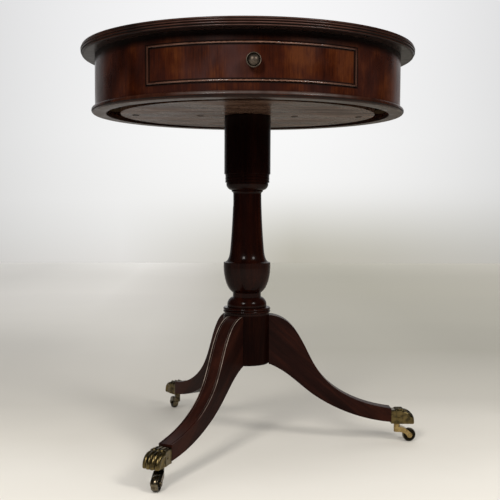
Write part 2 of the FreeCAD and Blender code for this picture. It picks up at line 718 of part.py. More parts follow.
def make_paw_cap():
    """The right paw cup: a flared socket with tufts and four bent toes, floored for the caster."""
    collar_end = LEG_REACH + PAW_COLLAR_LENGTH
    sections = [
        paw_section(LEG_REACH, PAW_COLLAR_WIDTH),
        paw_section(collar_end, PAW_COLLAR_WIDTH),
        paw_section(knuckle_x(), PAW_WIDTH),
    ]
    paw = Part.makeLoft(sections, True, True)
    crest = PAW_NOSE_RADIUS + TOE_LIFT
    nose = rz(paw_tip - crest, PAW_BOTTOM + PAW_HEIGHT - crest)
    outer = TOE_PITCH * (TOE_COUNT - 1) / 2
    flank = Y_AXIS * (outer + TOE_FLANK)
    core = rod(PAW_NOSE_RADIUS - TOE_LIFT, nose - flank, nose + flank)
    front = box((knuckle_x() - OVERRUN, paw_tip), (-PAW_WIDTH, PAW_WIDTH), (0, PAW_BOTTOM + PAW_HEIGHT))
    paw = paw.fuse(core.common(front))
    for index in range(TOE_COUNT):
        pull = TOE_OUTER_PULL if index in (0, TOE_COUNT - 1) else 0
        paw = paw.fuse(make_toe(nose, TOE_PITCH * index - outer, crest - TOE_RADIUS - pull))
    for index in range(TOE_COUNT - 1):
        paw = paw.fuse(make_tuft(TOE_PITCH * (index + 0.5) - outer))
    below = box((0, paw_tip + OVERRUN), (-PAW_WIDTH, PAW_WIDTH), (0, PAW_BOTTOM))
    paw = paw.cut(below)
    paw = paw.cut(toe_tenon(GLUE_GAP, PAW_BOTTOM + PAW_FLOOR))
    bore_top = PAW_BOTTOM + PAW_FLOOR + OVERRUN
    paw = paw.cut(rod(PIN_DIAMETER / 2 + SHAFT_GAP, rz(pin_radius, 0), rz(pin_radius, bore_top)))
    paw = paw.cut(Part.makeCompound(paw_screw_pair(GLUE_GAP)))
    return paw.cut(Part.makeCompound(paw_screw_wells())).removeSplitter()


def paw_screw_seats():
    """Where the two side screws of the right paw cup have their heads, by side."""
    reach = LEG_REACH + PAW_SCREW_REACH
    flare = (PAW_SCREW_REACH - PAW_COLLAR_LENGTH) / (PAW_LENGTH * PAW_FLARE_SHARE - PAW_COLLAR_LENGTH)
    half = (PAW_COLLAR_WIDTH + (PAW_WIDTH - PAW_COLLAR_WIDTH) * flare) / 2
    height = PAW_BOTTOM + PAW_SCREW_RISE
    return {side: Vec(reach, side * half, height) for side in (-1, 1)}


def paw_screw_pair(gap):
    """The two screws through the sides of the right paw cup into the leg's tenon."""
    sizes = (PAW_SCREW_LENGTH, PAW_SCREW_DIAMETER, PAW_SCREW_HEAD_DIAMETER, PAW_SCREW_HEAD_HEIGHT)
    return [wood_screw(seat, Y_AXIS * -side, gap, *sizes) for side, seat in paw_screw_seats().items()]


def paw_screw_wells():
    """Room in front of the screws' heads, where the cup's flare would cover them."""
    radius = PAW_SCREW_HEAD_DIAMETER / 2 + GLUE_GAP
    return [rod(radius, seat, seat + Y_AXIS * side * OVERRUN) for side, seat in paw_screw_seats().items()]


def make_paw_screws():
    """The screws of all three paw cups."""
    pair = paw_screw_pair(0)
    return Part.makeCompound([spun(screw, azimuth) for azimuth in leg_azimuths().values() for screw in pair])


def axle_centre():
    """The middle of the axle, with the caster's pin on the Z axis and its trail along +X."""
    return rz(CASTER_TRAIL, wheel_radius)


def horn_side():
    """The horn's side outline: an arm that bends from under the boss to the eye round the axle."""
    top, bottom = rz(0, boss_top - HORN_DROP), rz(0, boss_top - HORN_BOSS_HEIGHT)
    turns = [math.radians(angle) for angle in HORN_EYE_ANGLES]
    eye = [axle_centre() + rz(math.cos(turn), math.sin(turn)) * (HORN_EYE_DIAMETER / 2) for turn in turns]
    return Part.Face(Part.Wire([
        spline([between(top, eye[0], shares) for shares in HORN_OUTER_SHARES]),
        arc(*eye),
        spline([between(eye[2], bottom, shares) for shares in HORN_INNER_SHARES]),
        line(bottom, top),
    ]))


def horn_plan():
    """The horn seen from above: as narrow as the boss at the pin, and spread to straddle the wheel."""
    boss, end = HORN_BOSS_DIAMETER / 2, CASTER_TRAIL + HORN_EYE_DIAMETER
    right = [Vec(0, -boss, 0), Vec(HORN_SPREAD_REACH, -horn_half, 0), Vec(end, -horn_half, 0)]
    left = [Vec(end, horn_half, 0), Vec(HORN_SPREAD_REACH, horn_half, 0), Vec(0, boss, 0)]
    return prism(right + left, Z_AXIS * boss_top)


def make_caster_horn():
    """The forked horn: a boss under the paw and a gooseneck arm that straddles the wheel."""
    across = Y_AXIS * horn_half
    arm = moved(horn_side().extrude(across * 2), -across).common(horn_plan())
    boss = rod(HORN_BOSS_DIAMETER / 2, rz(0, boss_top - HORN_BOSS_HEIGHT), rz(0, boss_top))
    slot_across = Y_AXIS * slot_half
    slot = rod(wheel_radius + HORN_WHEEL_GAP, axle_centre() - slot_across, axle_centre() + slot_across)
    horn = boss.fuse(arm).cut(slot)
    bore = rod(AXLE_DIAMETER / 2 + SHAFT_GAP, axle_centre() - across * 2, axle_centre() + across * 2)
    horn = horn.cut(bore)
    return horn.cut(rod(PIN_DIAMETER / 2 + SHAFT_GAP, CENTRE, rz(0, PAW_BOTTOM))).removeSplitter()


def make_caster_pin():
    """The swivel rivet, headed inside the paw cup and flush under the boss."""
    floor_top = PAW_BOTTOM + PAW_FLOOR + RUN_GAP
    shank = rod(PIN_DIAMETER / 2, rz(0, boss_top - HORN_BOSS_HEIGHT), rz(0, floor_top + PIN_HEAD_HEIGHT))
    head = rod(PIN_HEAD_DIAMETER / 2, rz(0, floor_top), rz(0, floor_top + PIN_HEAD_HEIGHT))
    return shank.fuse(head).removeSplitter()


def make_caster_axle():
    """The wheel's axle, riveted over the outside of both eyes."""
    across = Y_AXIS * horn_half
    head = Y_AXIS * AXLE_HEAD_HEIGHT
    middle = axle_centre()
    axle = rod(AXLE_DIAMETER / 2, middle - across - head, middle + across + head)
    for side in (-1, 1):
        seat = middle + across * side
        axle = axle.fuse(rod(AXLE_HEAD_DIAMETER / 2, seat, seat + head * side))
    return axle.removeSplitter()


def make_caster_wheel():
    """A wheel with a ball-shaped tread, dished on both faces between hub and rim."""
    half, floor = WHEEL_WIDTH / 2, WHEEL_WIDTH / 2 - WHEEL_DISH
    bore = AXLE_DIAMETER / 2 + SHAFT_GAP
    hub, rim = WHEEL_HUB_DIAMETER / 2, wheel_radius - WHEEL_RIM
    edge = math.sqrt(wheel_radius ** 2 - half ** 2)
    edges = polyline([
        rz(edge, half), rz(rim, half), rz(rim, floor), rz(hub, floor), rz(hub, half), rz(bore, half),
        rz(bore, -half), rz(hub, -half), rz(hub, -floor), rz(rim, -floor), rz(rim, -half), rz(edge, -half),
    ])
    edges.append(arc(rz(edge, -half), rz(wheel_radius, 0), rz(edge, half)))
    wheel = turned(edges)
    wheel.rotate(CENTRE, X_AXIS, FULL_TURN / 4)
    return moved(wheel, axle_centre())


def under_paw(shape, name):
    """A caster piece set under its paw, trailing the way it stands at rest."""
    azimuth = leg_azimuths()[name]
    return spun(moved(spun(shape, CASTER_REST_TURNS[name]), rz(pin_radius, 0)), azimuth)


def front_blank():
    """The drawer front before its joints are cut, flush with the frieze."""
    slab = ring(drum_radius, front_inside, drawer_bottom, drawer_top)
    return slab.common(box((-drawer_half, drawer_half), (-drum_radius, 0), (drawer_bottom, drawer_top)))


def knob_centre():
    return Vec(0, -drum_radius, (drawer_bottom + drawer_top) / 2)


def make_drawer_front():
    """The bowed drawer front, rebated for the cockbeads, socketed for the tails, grooved for the bottom."""
    front = front_blank()
    rebate = ring(drum_radius + OVERRUN, drum_radius - COCKBEAD_DEPTH, drawer_bottom, drawer_top)
    field = drawer_half - COCKBEAD_WIDTH
    heart = box(
        (-field, field), (-drum_radius - OVERRUN, 0),
        (drawer_bottom + COCKBEAD_WIDTH, drawer_top - COCKBEAD_WIDTH),
    )
    front = front.cut(rebate.cut(heart))
    front = front.cut(tails()).cut(mirrored(tails())).cut(bottom_board(GLUE_GAP))
    inside = knob_centre() + Y_AXIS * FRONT_THICKNESS
    seat = inside - Y_AXIS * KNOB_SCREW_SEAT
    head_room = KNOB_SCREW_HEAD_DIAMETER / 2 + KNOB_SCREW_SEAT
    front = front.cut(rod(head_room, seat, inside + Y_AXIS * OVERRUN))
    return front.cut(rod(KNOB_SCREW_DIAMETER / 2 + GLUE_GAP, knob_centre() - Y_AXIS * OVERRUN, inside))


def cockbead_blank(x_span, z_span):
    """A strip round the drawer front that stands proud of it."""
    proud = drum_radius + COCKBEAD_PROJECTION
    strip = ring(proud, drum_radius - COCKBEAD_DEPTH, *z_span)
    return strip.common(box(x_span, (-proud, 0), z_span))


def rounded_nose(strip):
    """The strip with the two long edges of its proud face rounded."""
    proud = drum_radius + COCKBEAD_PROJECTION
    long_edges = []
    for edge in strip.Edges:
        ends = [vertex.Point for vertex in edge.Vertexes]
        on_face = all(math.isclose(math.hypot(p.x, p.y), proud, abs_tol=GLUE_GAP) for p in ends)
        if on_face and edge.Length > COCKBEAD_WIDTH * 2:
            long_edges.append(edge)
    return strip.makeFillet(COCKBEAD_ROUND, long_edges)


def make_level_cockbead(edge, inward):
    """The upper or lower cockbead, mitred at both ends."""
    z_span = sorted((edge, edge + inward * COCKBEAD_WIDTH))
    strip = rounded_nose(cockbead_blank((-drawer_half, drawer_half), z_span))
    field = drawer_half - COCKBEAD_WIDTH
    back = -drum_radius - OVERRUN
    mitre = prism([
        Vec(-drawer_half, back, edge), Vec(drawer_half, back, edge),
        Vec(field, back, edge + inward * COCKBEAD_WIDTH), Vec(-field, back, edge + inward * COCKBEAD_WIDTH),
    ], Y_AXIS * drum_radius)
    return strip.common(mitre)


def make_upright_cockbead():
    """The right cockbead, mitred to the upper and lower ones."""
    field = drawer_half - COCKBEAD_WIDTH
    strip = rounded_nose(cockbead_blank((field, drawer_half), (drawer_bottom, drawer_top)))
    back = -drum_radius - OVERRUN
    mitre = prism([
        Vec(drawer_half, back, drawer_bottom), Vec(drawer_half, back, drawer_top),
        Vec(field, back, drawer_top - COCKBEAD_WIDTH), Vec(field, back, drawer_bottom + COCKBEAD_WIDTH),
    ], Y_AXIS * drum_radius)
    return strip.common(mitre)


def tails():
    """The dovetails at the front end of the right drawer side."""
    root = -math.sqrt(front_inside ** 2 - drawer_half ** 2)
    pitch = (drawer_top - drawer_bottom) / TAIL_COUNT
    shapes = []
    for index in range(TAIL_COUNT):
        middle = drawer_bottom + pitch * (index + 0.5)
        narrow, wide = TAIL_NECK / 2, TAIL_NECK / 2 + TAIL_SPREAD
        points = [
            Vec(drawer_inside_half, root + OVERRUN, middle - narrow),
            Vec(drawer_inside_half, root - TAIL_LENGTH, middle - wide),
            Vec(drawer_inside_half, root - TAIL_LENGTH, middle + wide),
            Vec(drawer_inside_half, root + OVERRUN, middle + narrow),
        ]
        shapes.append(prism(points, X_AXIS * SIDE_THICKNESS))
    return Part.makeCompound(shapes)


def make_drawer_side():
    """The right drawer side, scribed to the back of the bowed front and dovetailed into it."""
    board = box((drawer_inside_half, drawer_half), (-drum_radius, drawer_end), (drawer_bottom, drawer_top))
    board = board.common(post(front_inside - GLUE_GAP, drawer_bottom, drawer_top))
    return board.fuse(tails().Solids).cut(bottom_board(GLUE_GAP)).removeSplitter()


def make_drawer_back():
    return box(
        (-drawer_inside_half, drawer_inside_half),
        (drawer_end - BACK_THICKNESS, drawer_end),
        (board_top, drawer_top - BACK_DROP),
    )


def bottom_board(gap):
    """The drawer bottom, let into the sides and the front, grown by a gap for its groove."""
    half = drawer_inside_half + BOTTOM_GROOVE + gap
    board = box((-half, half), (-drum_radius, drawer_end), (board_bottom, board_top))
    return board.common(post(front_inside + BOTTOM_GROOVE + gap, board_bottom, board_top))


def make_drawer_knob():
    """A turned knob: rose, waisted neck, and a head with a beaded rim, a groove and a dome."""
    knob, rose, neck = KNOB_DIAMETER / 2, KNOB_ROSE_DIAMETER / 2, KNOB_NECK_DIAMETER / 2
    rim_inside = knob - KNOB_RIM_WIDTH
    boss = rim_inside - KNOB_GROOVE_WIDTH
    neck_height, belly, rim = (KNOB_LENGTH * share for share in KNOB_HEIGHT_SHARES)
    floor = rim - KNOB_GROOVE_DEPTH
    foot = rz(rose, KNOB_ROSE_THICKNESS)
    edges = polyline([rz(0, 0), rz(rose, 0), foot])
    waist = rz(neck, neck_height)
    waist_middle = between(rz(neck, KNOB_ROSE_THICKNESS), rz(rose, neck_height), KNOB_WAIST_SHARES)
    edges.append(arc(foot, waist_middle, waist))
    edges.append(arc(waist, between(waist, rz(knob, belly), KNOB_BELLY_SHARES), rz(knob, belly)))
    edges.append(line(rz(knob, belly), rz(knob, rim)))
    crest = rz(knob - KNOB_RIM_WIDTH / 2, rim + KNOB_RIM_WIDTH / 2)
    edges.append(arc(rz(knob, rim), crest, rz(rim_inside, rim)))
    edges += polyline([rz(rim_inside, rim), rz(rim_inside, floor), rz(boss, floor), rz(boss, rim)])
    edges.append(dome(boss, rim, KNOB_LENGTH))
    edges.append(line(rz(0, KNOB_LENGTH), rz(0, 0)))
    knob_solid = turned(edges)
    bore = post(KNOB_SCREW_DIAMETER / 2 + GLUE_GAP, -OVERRUN, KNOB_SCREW_REACH + GLUE_GAP)
    knob_solid = knob_solid.cut(bore)
    knob_solid.rotate(CENTRE, X_AXIS, FULL_TURN / 4)
    return moved(knob_solid, knob_centre())


def make_knob_screw():
    """The round-headed screw from inside the drawer."""
    seat = knob_centre() + Y_AXIS * (FRONT_THICKNESS - KNOB_SCREW_SEAT)
    shank = rod(KNOB_SCREW_DIAMETER / 2, knob_centre() - Y_AXIS * KNOB_SCREW_REACH, seat)
    crown = seat + Y_AXIS * KNOB_SCREW_HEAD_HEIGHT
    screw = shank.fuse(rod(KNOB_SCREW_HEAD_DIAMETER / 2, seat, crown)).removeSplitter()
    return screw.cut(driver_slot(crown, -Y_AXIS, KNOB_SCREW_HEAD_DIAMETER))


def drum_pieces():
    """Everything above the column, apart from the drawer."""
    pieces = {
        "top_board": make_top_board(),
        "leather_inset": make_leather_inset(),
        "frieze_wall": make_frieze_wall(),
        "frieze_rail_upper": make_frieze_rail(window_top, top_underside),
        "frieze_rail_lower": make_frieze_rail(frieze_bottom, window_bottom),
        "base_moulding": make_base_moulding(),
        "cross_bearer": make_cross_bearer(),
        "underside_disc": make_underside_disc(),
        "disc_screws": Part.makeCompound(disc_screw_list(0)),
        "kicker_screws": Part.makeCompound(kicker_screw_list(0)),
        "drawer_stops": make_drawer_stops(),
        "glue_blocks": make_glue_blocks(),
    }
    for name, piece in (("runner", make_runner()), ("guide", make_guide()), ("kicker", make_kicker())):
        pieces["drawer_" + name + "_right"] = piece
        pieces["drawer_" + name + "_left"] = mirrored(piece)
    return pieces


def drawer_pieces():
    side = make_drawer_side()
    upright = make_upright_cockbead()
    return {
        "drawer_front": make_drawer_front(),
        "cockbead_top": make_level_cockbead(drawer_top, -1),
        "cockbead_bottom": make_level_cockbead(drawer_bottom, 1),
        "cockbead_right": upright,
        "cockbead_left": mirrored(upright),
        "drawer_side_right": side,
        "drawer_side_left": mirrored(side),
        "drawer_back": make_drawer_back(),
        "drawer_bottom": bottom_board(0),
        "drawer_knob": make_drawer_knob(),
        "knob_screw": make_knob_screw(),
    }


def pedestal_pieces():
    """The column, the hub, and a leg with its paw cup and caster in each direction."""
    pieces = {"column": make_column(), "leg_hub": make_leg_hub(), "paw_screws": make_paw_screws()}
    leg, paw = make_leg(), make_paw_cap()
    casters = {
        "caster_horn": make_caster_horn(),
        "caster_pin": make_caster_pin(),
        "caster_axle": make_caster_axle(),
        "caster_wheel": make_caster_wheel(),
    }
    for name, azimuth in leg_azimuths().items():
        pieces["leg_" + name] = spun(leg, azimuth)
        pieces["paw_cap_" + name] = spun(paw, azimuth)
        for kind, piece in casters.items():
            pieces[kind + "_" + name] = under_paw(piece, name)
    return pieces


os.makedirs("parts", exist_ok=True)
for node, shape in {**drum_pieces(), **drawer_pieces(), **pedestal_pieces()}.items():
    shape.exportStep("parts/" + node + ".step")
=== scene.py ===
import json
import math
from functools import partial

import bpy
from mathutils import Matrix, Vector

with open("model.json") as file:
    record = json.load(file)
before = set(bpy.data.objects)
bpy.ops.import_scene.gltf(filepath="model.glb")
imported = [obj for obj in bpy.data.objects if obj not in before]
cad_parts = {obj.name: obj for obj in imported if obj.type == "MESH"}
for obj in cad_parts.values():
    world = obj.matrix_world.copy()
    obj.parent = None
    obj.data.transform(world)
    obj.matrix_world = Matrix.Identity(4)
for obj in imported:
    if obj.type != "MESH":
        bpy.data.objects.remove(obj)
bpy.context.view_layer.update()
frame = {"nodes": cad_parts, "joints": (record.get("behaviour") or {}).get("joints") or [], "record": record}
nodes = frame["nodes"]
joints = {joint["name"]: joint for joint in frame["joints"]}


def extent(name, axis):
    """How far a node of the frame reaches along an axis, low and high."""
    places = [corner[axis] for corner in nodes[name].bound_box]
    return min(places), max(places)


def azimuth_of(joint):
    """The direction of a joint's place from the table's axis, in degrees."""
    across, away, _ = joints[joint]["pos_m"]
    return math.degrees(math.atan2(away, across))


# Lengths are in metres. A range is given as two ends, and where needed the values at both.
# A noise is scale, detail, roughness and distortion. Patches are a noise, its range and the shares at both ends.

# The photograph's camera, in the table's frame: angles in degrees, and millimetres for the lens
CAMERA_PLACE = Vector((-0.0390, -1.2938, 0.3758))
CAMERA_HEADING = 1.93
CAMERA_PITCH = -3.165
CAMERA_ROLL = 0.245
CAMERA_LENS = 59.57
CAMERA_SENSOR = 36.0

# Directions of the legs, and the legs' slope, reach and half widths
LEG_NAMES = ("right", "back_left", "front_left")
LEG_AZIMUTHS = {name: azimuth_of("caster_%s_swivel" % name) for name in LEG_NAMES}
LEG_SLOPE = 40.0
LEG_REACH = 0.229
LEG_ROOT_HALF = 0.0125
LEG_TOE_HALF = 0.01075

# Painted highlights along lines on top of the legs, by the distance from their sides: the edge itself and a
# scratched line
EDGE_LINE = (0.00063, 0.0009, 1.0, 0.0)
SCRATCHED_LINE = (0.0031, 0.0037)
SCRATCHED_SHARE = 0.45
LEG_HIGHLIGHT_TINT = (0.38, 0.31, 0.26)
LEG_HIGHLIGHT_FACING = (0.15, 0.3)
LEG_HIGHLIGHT_FADE = (0.11, 0.17, 1.0, 0.0)
LEG_HIGHLIGHT_PATCHES = ((70.0, 3.0), (0.3, 0.6), (0.35, 1.0))
LEG_HIGHLIGHT_ROUGHNESS = 0.5

# Wood tones, dark to light, as linear colours by their place in the figure
FRIEZE_TONES = ((0.37, (0.010, 0.0018, 0.0006)), (0.5, (0.029, 0.0052, 0.0012)), (0.63, (0.074, 0.0175, 0.0042)))
DRAWER_TONES = ((0.38, (0.015, 0.0026, 0.0010)), (0.5, (0.041, 0.0076, 0.0017)), (0.62, (0.088, 0.022, 0.0045)))
BEAD_TONES = ((0.38, (0.014, 0.0038, 0.0018)), (0.62, (0.046, 0.0145, 0.0075)))
TOP_TONES = ((0.38, (0.008, 0.0024, 0.0016)), (0.62, (0.042, 0.0115, 0.005)))
MOULDING_TONES = ((0.38, (0.010, 0.003, 0.002)), (0.62, (0.048, 0.0135, 0.006)))
PEDESTAL_TONES = ((0.37, (0.0035, 0.0009, 0.0006)), (0.5, (0.0088, 0.0021, 0.0012)),
                  (0.64, (0.0225, 0.005, 0.0022)))
# The hub's tones are the pedestal's, darkened as painted shade
HUB_SHADED_TONES = ((0.37, (0.002, 0.0006, 0.0005)), (0.5, (0.0052, 0.0014, 0.0009)), (0.64, (0.0145, 0.0035, 0.0017)))
LEG_TONES = ((0.37, (0.005, 0.0017, 0.0013)), (0.5, (0.0125, 0.0038, 0.0027)), (0.64, (0.031, 0.0084, 0.0048)))
DISC_TONES = ((0.42, (0.027, 0.012, 0.008)), (0.5, (0.080, 0.043, 0.028)), (0.58, (0.152, 0.089, 0.062)))
BEARER_TONES = ((0.37, (0.012, 0.007, 0.004)), (0.64, (0.05, 0.032, 0.019)))
INNER_TONES = ((0.37, (0.19, 0.11, 0.055)), (0.5, (0.30, 0.19, 0.10)), (0.64, (0.42, 0.29, 0.17)))

# Turns in degrees that bring the grain from Z to another axis
ALONG_X = ((0.0, 90.0, 0.0),)
ALONG_Y = ((90.0, 0.0, 0.0),)

# Wood's grain: drawn out along the timber, with fibres, bands, streaks, clouds and open pores
GRAIN_STRETCH = 0.06
FIBRE_NOISE = (620.0, 3.0, 0.65)
BAND_NOISE = (32.0, 3.0, 0.6, 0.8)
STREAK_NOISE = (210.0, 2.0)
CLOUD_DETAIL = (3.0, 0.55)
PORE_NOISE = (1700.0, 1.0)
PORE_RANGE = (0.6, 0.72)
PORE_SHARE = 0.5
PORE_DEPTH = 0.6
GRAIN_RELIEF = (0.12, 0.0002, 0.0006)
ROUGH_NOISE = (26.0, 3.0)
ROUGH_RANGE = (0.35, 0.65)
COAT_ROUGHNESS = 0.08
VENEER_CLOUDS = (0.75, 27.0)

# Edges rubbed by use, as radius and range of the bend, and painted shade in hollows, as reach and range; then the
# tint and roughness that all painted shade takes
RUBBED_EDGE = (0.0008, 0.03, 0.3)
EDGE_SAMPLES = 4
WEAR_RANGE = (0.4, 0.6)
WEAR_GAIN = 2.6
WEAR_LIFT = 0.01
HOLLOW_SAMPLES = 8
GROOVE_REACH = 0.003
GROOVE_RANGE = (0.35, 0.8)
PAINTED_SHADE_TINT = (0.003, 0.0015, 0.001)
PAINTED_SHADE_ROUGHNESS = 0.6

# Half width, bottom and top inside the drawer's beads and outside them, and the painted shade that lies against
# them
BEAD_INSIDE = (extent("cockbead_right", 0)[0], extent("cockbead_bottom", 2)[1], extent("cockbead_top", 2)[0])
BEAD_OUTSIDE = (extent("cockbead_right", 0)[1], extent("cockbead_bottom", 2)[0], extent("cockbead_top", 2)[1])
BEAD_SHADE_EDGE = (0.0009, 0.0026, 0.92, 0.0)

# Painted highlights on the crests of the beads: their radius, the depths below it, and the fade towards the
# drawer's ends
BEAD_CREST = -extent("cockbead_bottom", 1)[0]
CREST_DEPTHS = (0.00038, 0.0001)
CREST_FADE = (0.05, 0.138, 1.0, 0.18)
CREST_PATCHES = ((60.0, 3.0), (0.3, 0.6), (0.4, 0.95))
CREST_HIGHLIGHT_TINT = (0.25, 0.13, 0.088)
CREST_ROUGHNESS = 0.25

# Bloom on the polish, and its thickest patch on the drawer, which is a painted sheen, by its middle, core and reach
# along X
BLOOM_AND_SHEEN_TINT = (0.058, 0.026, 0.024)
BLOOM_STRETCH = (1.0, 1.0, 0.4)
BLOOM_NOISE = (21.0, 3.0)
BLOOM_RANGE = (0.36, 0.58)
SHEEN_PATCH_MIDDLE = -0.045
SHEEN_PATCH_CORE = 0.0208
SHEEN_PATCH_REACH = 0.052
BLOOM_AND_SHEEN_ROUGHNESS = 0.4

# Reeds of the top's edge, counted upwards, with painted shade in the grooves and painted highlights on the crests
# by the distance from a reed's middle
REED_BOTTOM, REED_TOP = extent("top_board", 2)
REED_COUNT = 4
REED_MIDDLE = 0.5
REED_DEPTH = 0.005
REED_INSIDE = extent("top_board", 0)[1] - REED_DEPTH
REED_GROOVE = (0.22, 0.38, 0.0, 0.97)
REED_CREST = (0.08, 0.2, 1.0, 0.0)
REED_FADE = (0.05, 0.175, 0.8, 0.05)
REED_PATCHES = ((55.0, 3.0), (0.3, 0.6), (0.4, 1.0))
REED_HIGHLIGHT_TINT = (0.13, 0.075, 0.062)
REED_ROUGHNESS = 0.2

# Undersides of the top and the moulding: how far above its lowest point a face still belongs to one
UNDERSIDE_DEPTH = 0.0005

# Dull underside of the top, and painted shadow of the top on the frieze below it: how far down it begins and is
# full
UNDERSIDE_PATCHES = ((90.0, 4.0), (0.3, 0.65), (0.45, 1.0))
UNDERSIDE_TINT = (0.016, 0.009, 0.0075)
UNDERSIDE_ROUGHNESS = 0.36
OVERHANG_REACH = 0.015
OVERHANG_FULL = 0.004
OVERHANG_SHARE = 0.9

# Moulding: a painted sheen on its flat underside, weaker towards its inner edge by radius, a painted highlight on
# its nose by height above that, round the front and back, and painted shadow below the nose
MOULDING_BOTTOM = extent("base_moulding", 2)[0]
MOULDING_SHEEN_RADII = (0.220, 0.229, 0.25, 1.0)
MOULDING_PATCHES = ((70.0, 4.0, 0.6), (0.35, 0.62), (0.3, 0.95))
MOULDING_SHEEN_TINT = (0.075, 0.052, 0.042)
MOULDING_ROUGHNESS = 0.45
NOSE_HEIGHT = 0.0062
NOSE_WIDTH = (0.0011, 0.0022, 1.0, 0.0)
NOSE_MIDDLE = 0.016
NOSE_FADE = (0.085, 0.13, 0.85, 0.0)
NOSE_PATCHES = ((60.0, 3.0), (0.3, 0.6), (0.5, 1.0))
NOSE_HIGHLIGHT_TINT = (0.085, 0.066, 0.059)
NOSE_ROUGHNESS = 0.3
NOSE_SHADOW_BAND = (0.0020, 0.0034)
NOSE_SHADOW_SHARE = 0.9

# Disc: a faint polish that shows at low angles, and stains round its screws, which lie along X on both sides
DISC_POLISH = 0.018
SCREW_HEAD = extent("disc_screws", 1)[1]
SCREW_REACHES = [abs(point.co.x) for point in nodes["disc_screws"].data.vertices]
SCREW_PLACES = (min(SCREW_REACHES) + SCREW_HEAD, max(SCREW_REACHES) - SCREW_HEAD)
STAIN_SIZE = (0.0058, 0.013, 1.0)
STAIN_EDGE = (0.4, 1.1, 0.97, 0.0)
STAIN_TINT = (0.008, 0.004, 0.003)
STAIN_ROUGHNESS = 0.95

# Brass: speckled, rubbed on its edges, dirty in its hollows, dark on the wheels' flanks, and pitted
SPECK_SCALE = 150.0
SPECK_DETAIL = (3.0, 0.55)
SPECK_PLACES = (0.34, 0.66)
SPECK_RANGE = (0.3, 0.7)
BRASS_RUB_SHARE = 0.5
BRASS_RUB_GAIN = 1.3
GRIME_REACH = 0.006
GRIME_RANGE = (0.35, 0.85)
GRIME_ROUGHNESS = 0.2
GRIME_TINT = (0.010, 0.008, 0.005)
WHEEL_FLANK = (0.35, 0.75, 0.0, 0.93)
PIT_NOISE = (1200.0, 2.0)
BRASS_RELIEF = (0.12, 0.0002, 0.0005)

# Brass tones, bright and dull, as linear colours
PAW_TONES = ((0.175, 0.128, 0.052), (0.053, 0.041, 0.02))
KNOB_TONES = ((0.118, 0.095, 0.074), (0.058, 0.045, 0.035))
SCREW_TONES = ((0.20, 0.14, 0.055), (0.05, 0.036, 0.015))
BRIGHT_HORN_TONES = ((0.50, 0.36, 0.15), (0.24, 0.165, 0.07))
DARK_HORN_TONES = ((0.13, 0.10, 0.058), (0.032, 0.025, 0.015))
WHEEL_TONES = ((0.205, 0.17, 0.112), (0.076, 0.061, 0.039))

# Leather on the top: grained, patchy, with rings of worn gilt by radius and half width
LEATHER_POLISH = 0.015
LEATHER_CELLS = 900.0
LEATHER_NOISE = (9.0, 4.0, 0.6)
LEATHER_TONES = ((0.3, (0.008, 0.03, 0.016)), (0.7, (0.022, 0.07, 0.036)))
LEATHER_ROUGHNESS = (0.3, 0.7, 0.5, 0.66)
LEATHER_RELIEF = (0.25, 0.0003)
GILT_RINGS = ((0.1985, 0.0010), (0.2010, 0.0004))
GILT_NOISE = (160.0, 3.0)
GILT_RANGE = (0.3, 0.5)
GILT_TINT = (0.55, 0.36, 0.10)

# Darkened steel of the screws
STEEL_NOISE = (700.0, 4.0)
STEEL_TONES = ((0.3, (0.012, 0.010, 0.009)), (0.7, (0.06, 0.052, 0.045)))
STEEL_ROUGHNESS = (0.3, 0.7, 0.35, 0.6)
STEEL_RELIEF = (0.15, 0.0001, 0.0002)

# Floor: its reach, its tones from in front of the table to the wall, and shares of them from left to right; tones
# and shares hold painted light and shade, darker under and beside the table and towards the sides
STAGE_SIDE = 6.0
STAGE_FRONT = -6.0
STAGE_BACK = 4.0
STAGE_TONED = (-1.0, STAGE_BACK)
STAGE_SHADED = (-1.5, 1.5)
FLOOR_TONES = ((0.0, (0.72, 0.69, 0.63)), (0.125, (0.74, 0.71, 0.645)), (0.165, (0.73, 0.70, 0.64)),
               (0.205, (0.64, 0.61, 0.55)), (0.258, (0.55, 0.525, 0.475)), (0.37, (0.66, 0.635, 0.585)),
               (0.476, (0.708, 0.685, 0.638)), (0.58, (0.712, 0.69, 0.65)), (0.80, (0.75, 0.73, 0.69)),
               (1.0, (0.87, 0.85, 0.81)))
FLOOR_NEAR_SHARES = ((0.0, (0.80, 0.80, 0.80)), (0.327, (0.89, 0.89, 0.89)), (0.37, (0.95, 0.95, 0.95)),
                     (0.413, (0.96, 0.96, 0.96)), (0.464, (0.85, 0.85, 0.84)), (0.54, (0.745, 0.74, 0.70)),
                     (0.634, (0.755, 0.75, 0.70)), (0.70, (0.70, 0.695, 0.65)), (1.0, (0.72, 0.715, 0.67)))
FLOOR_FAR_SHARES = ((0.05, (0.98, 0.98, 0.98)), (0.14, (1.02, 1.02, 1.02)), (0.22, (1.12, 1.12, 1.12)),
                    (0.33, (1.22, 1.22, 1.22)), (0.43, (1.03, 1.02, 1.0)), (0.54, (0.755, 0.745, 0.675)),
                    (0.70, (0.745, 0.735, 0.655)), (1.0, (0.825, 0.81, 0.745)))
FLOOR_FAR = (0.9, 2.2)
FLOOR_SHADE = (0.1, 0.8)
FLOOR_BOUNCE = (-0.65, -0.375, 0.05, 1.0)
FLOOR_MOTTLE = (2.2, 4.0)
FLOOR_MOTTLE_SHIFT = (0.2, 0.8, -0.1, 0.1)
FLOOR_FLECK = (380.0, 3.0)
FLOOR_RELIEF = (0.05, 0.0005)
FLOOR_ROUGHNESS = 0.75
FLOOR_POLISH = 0.15

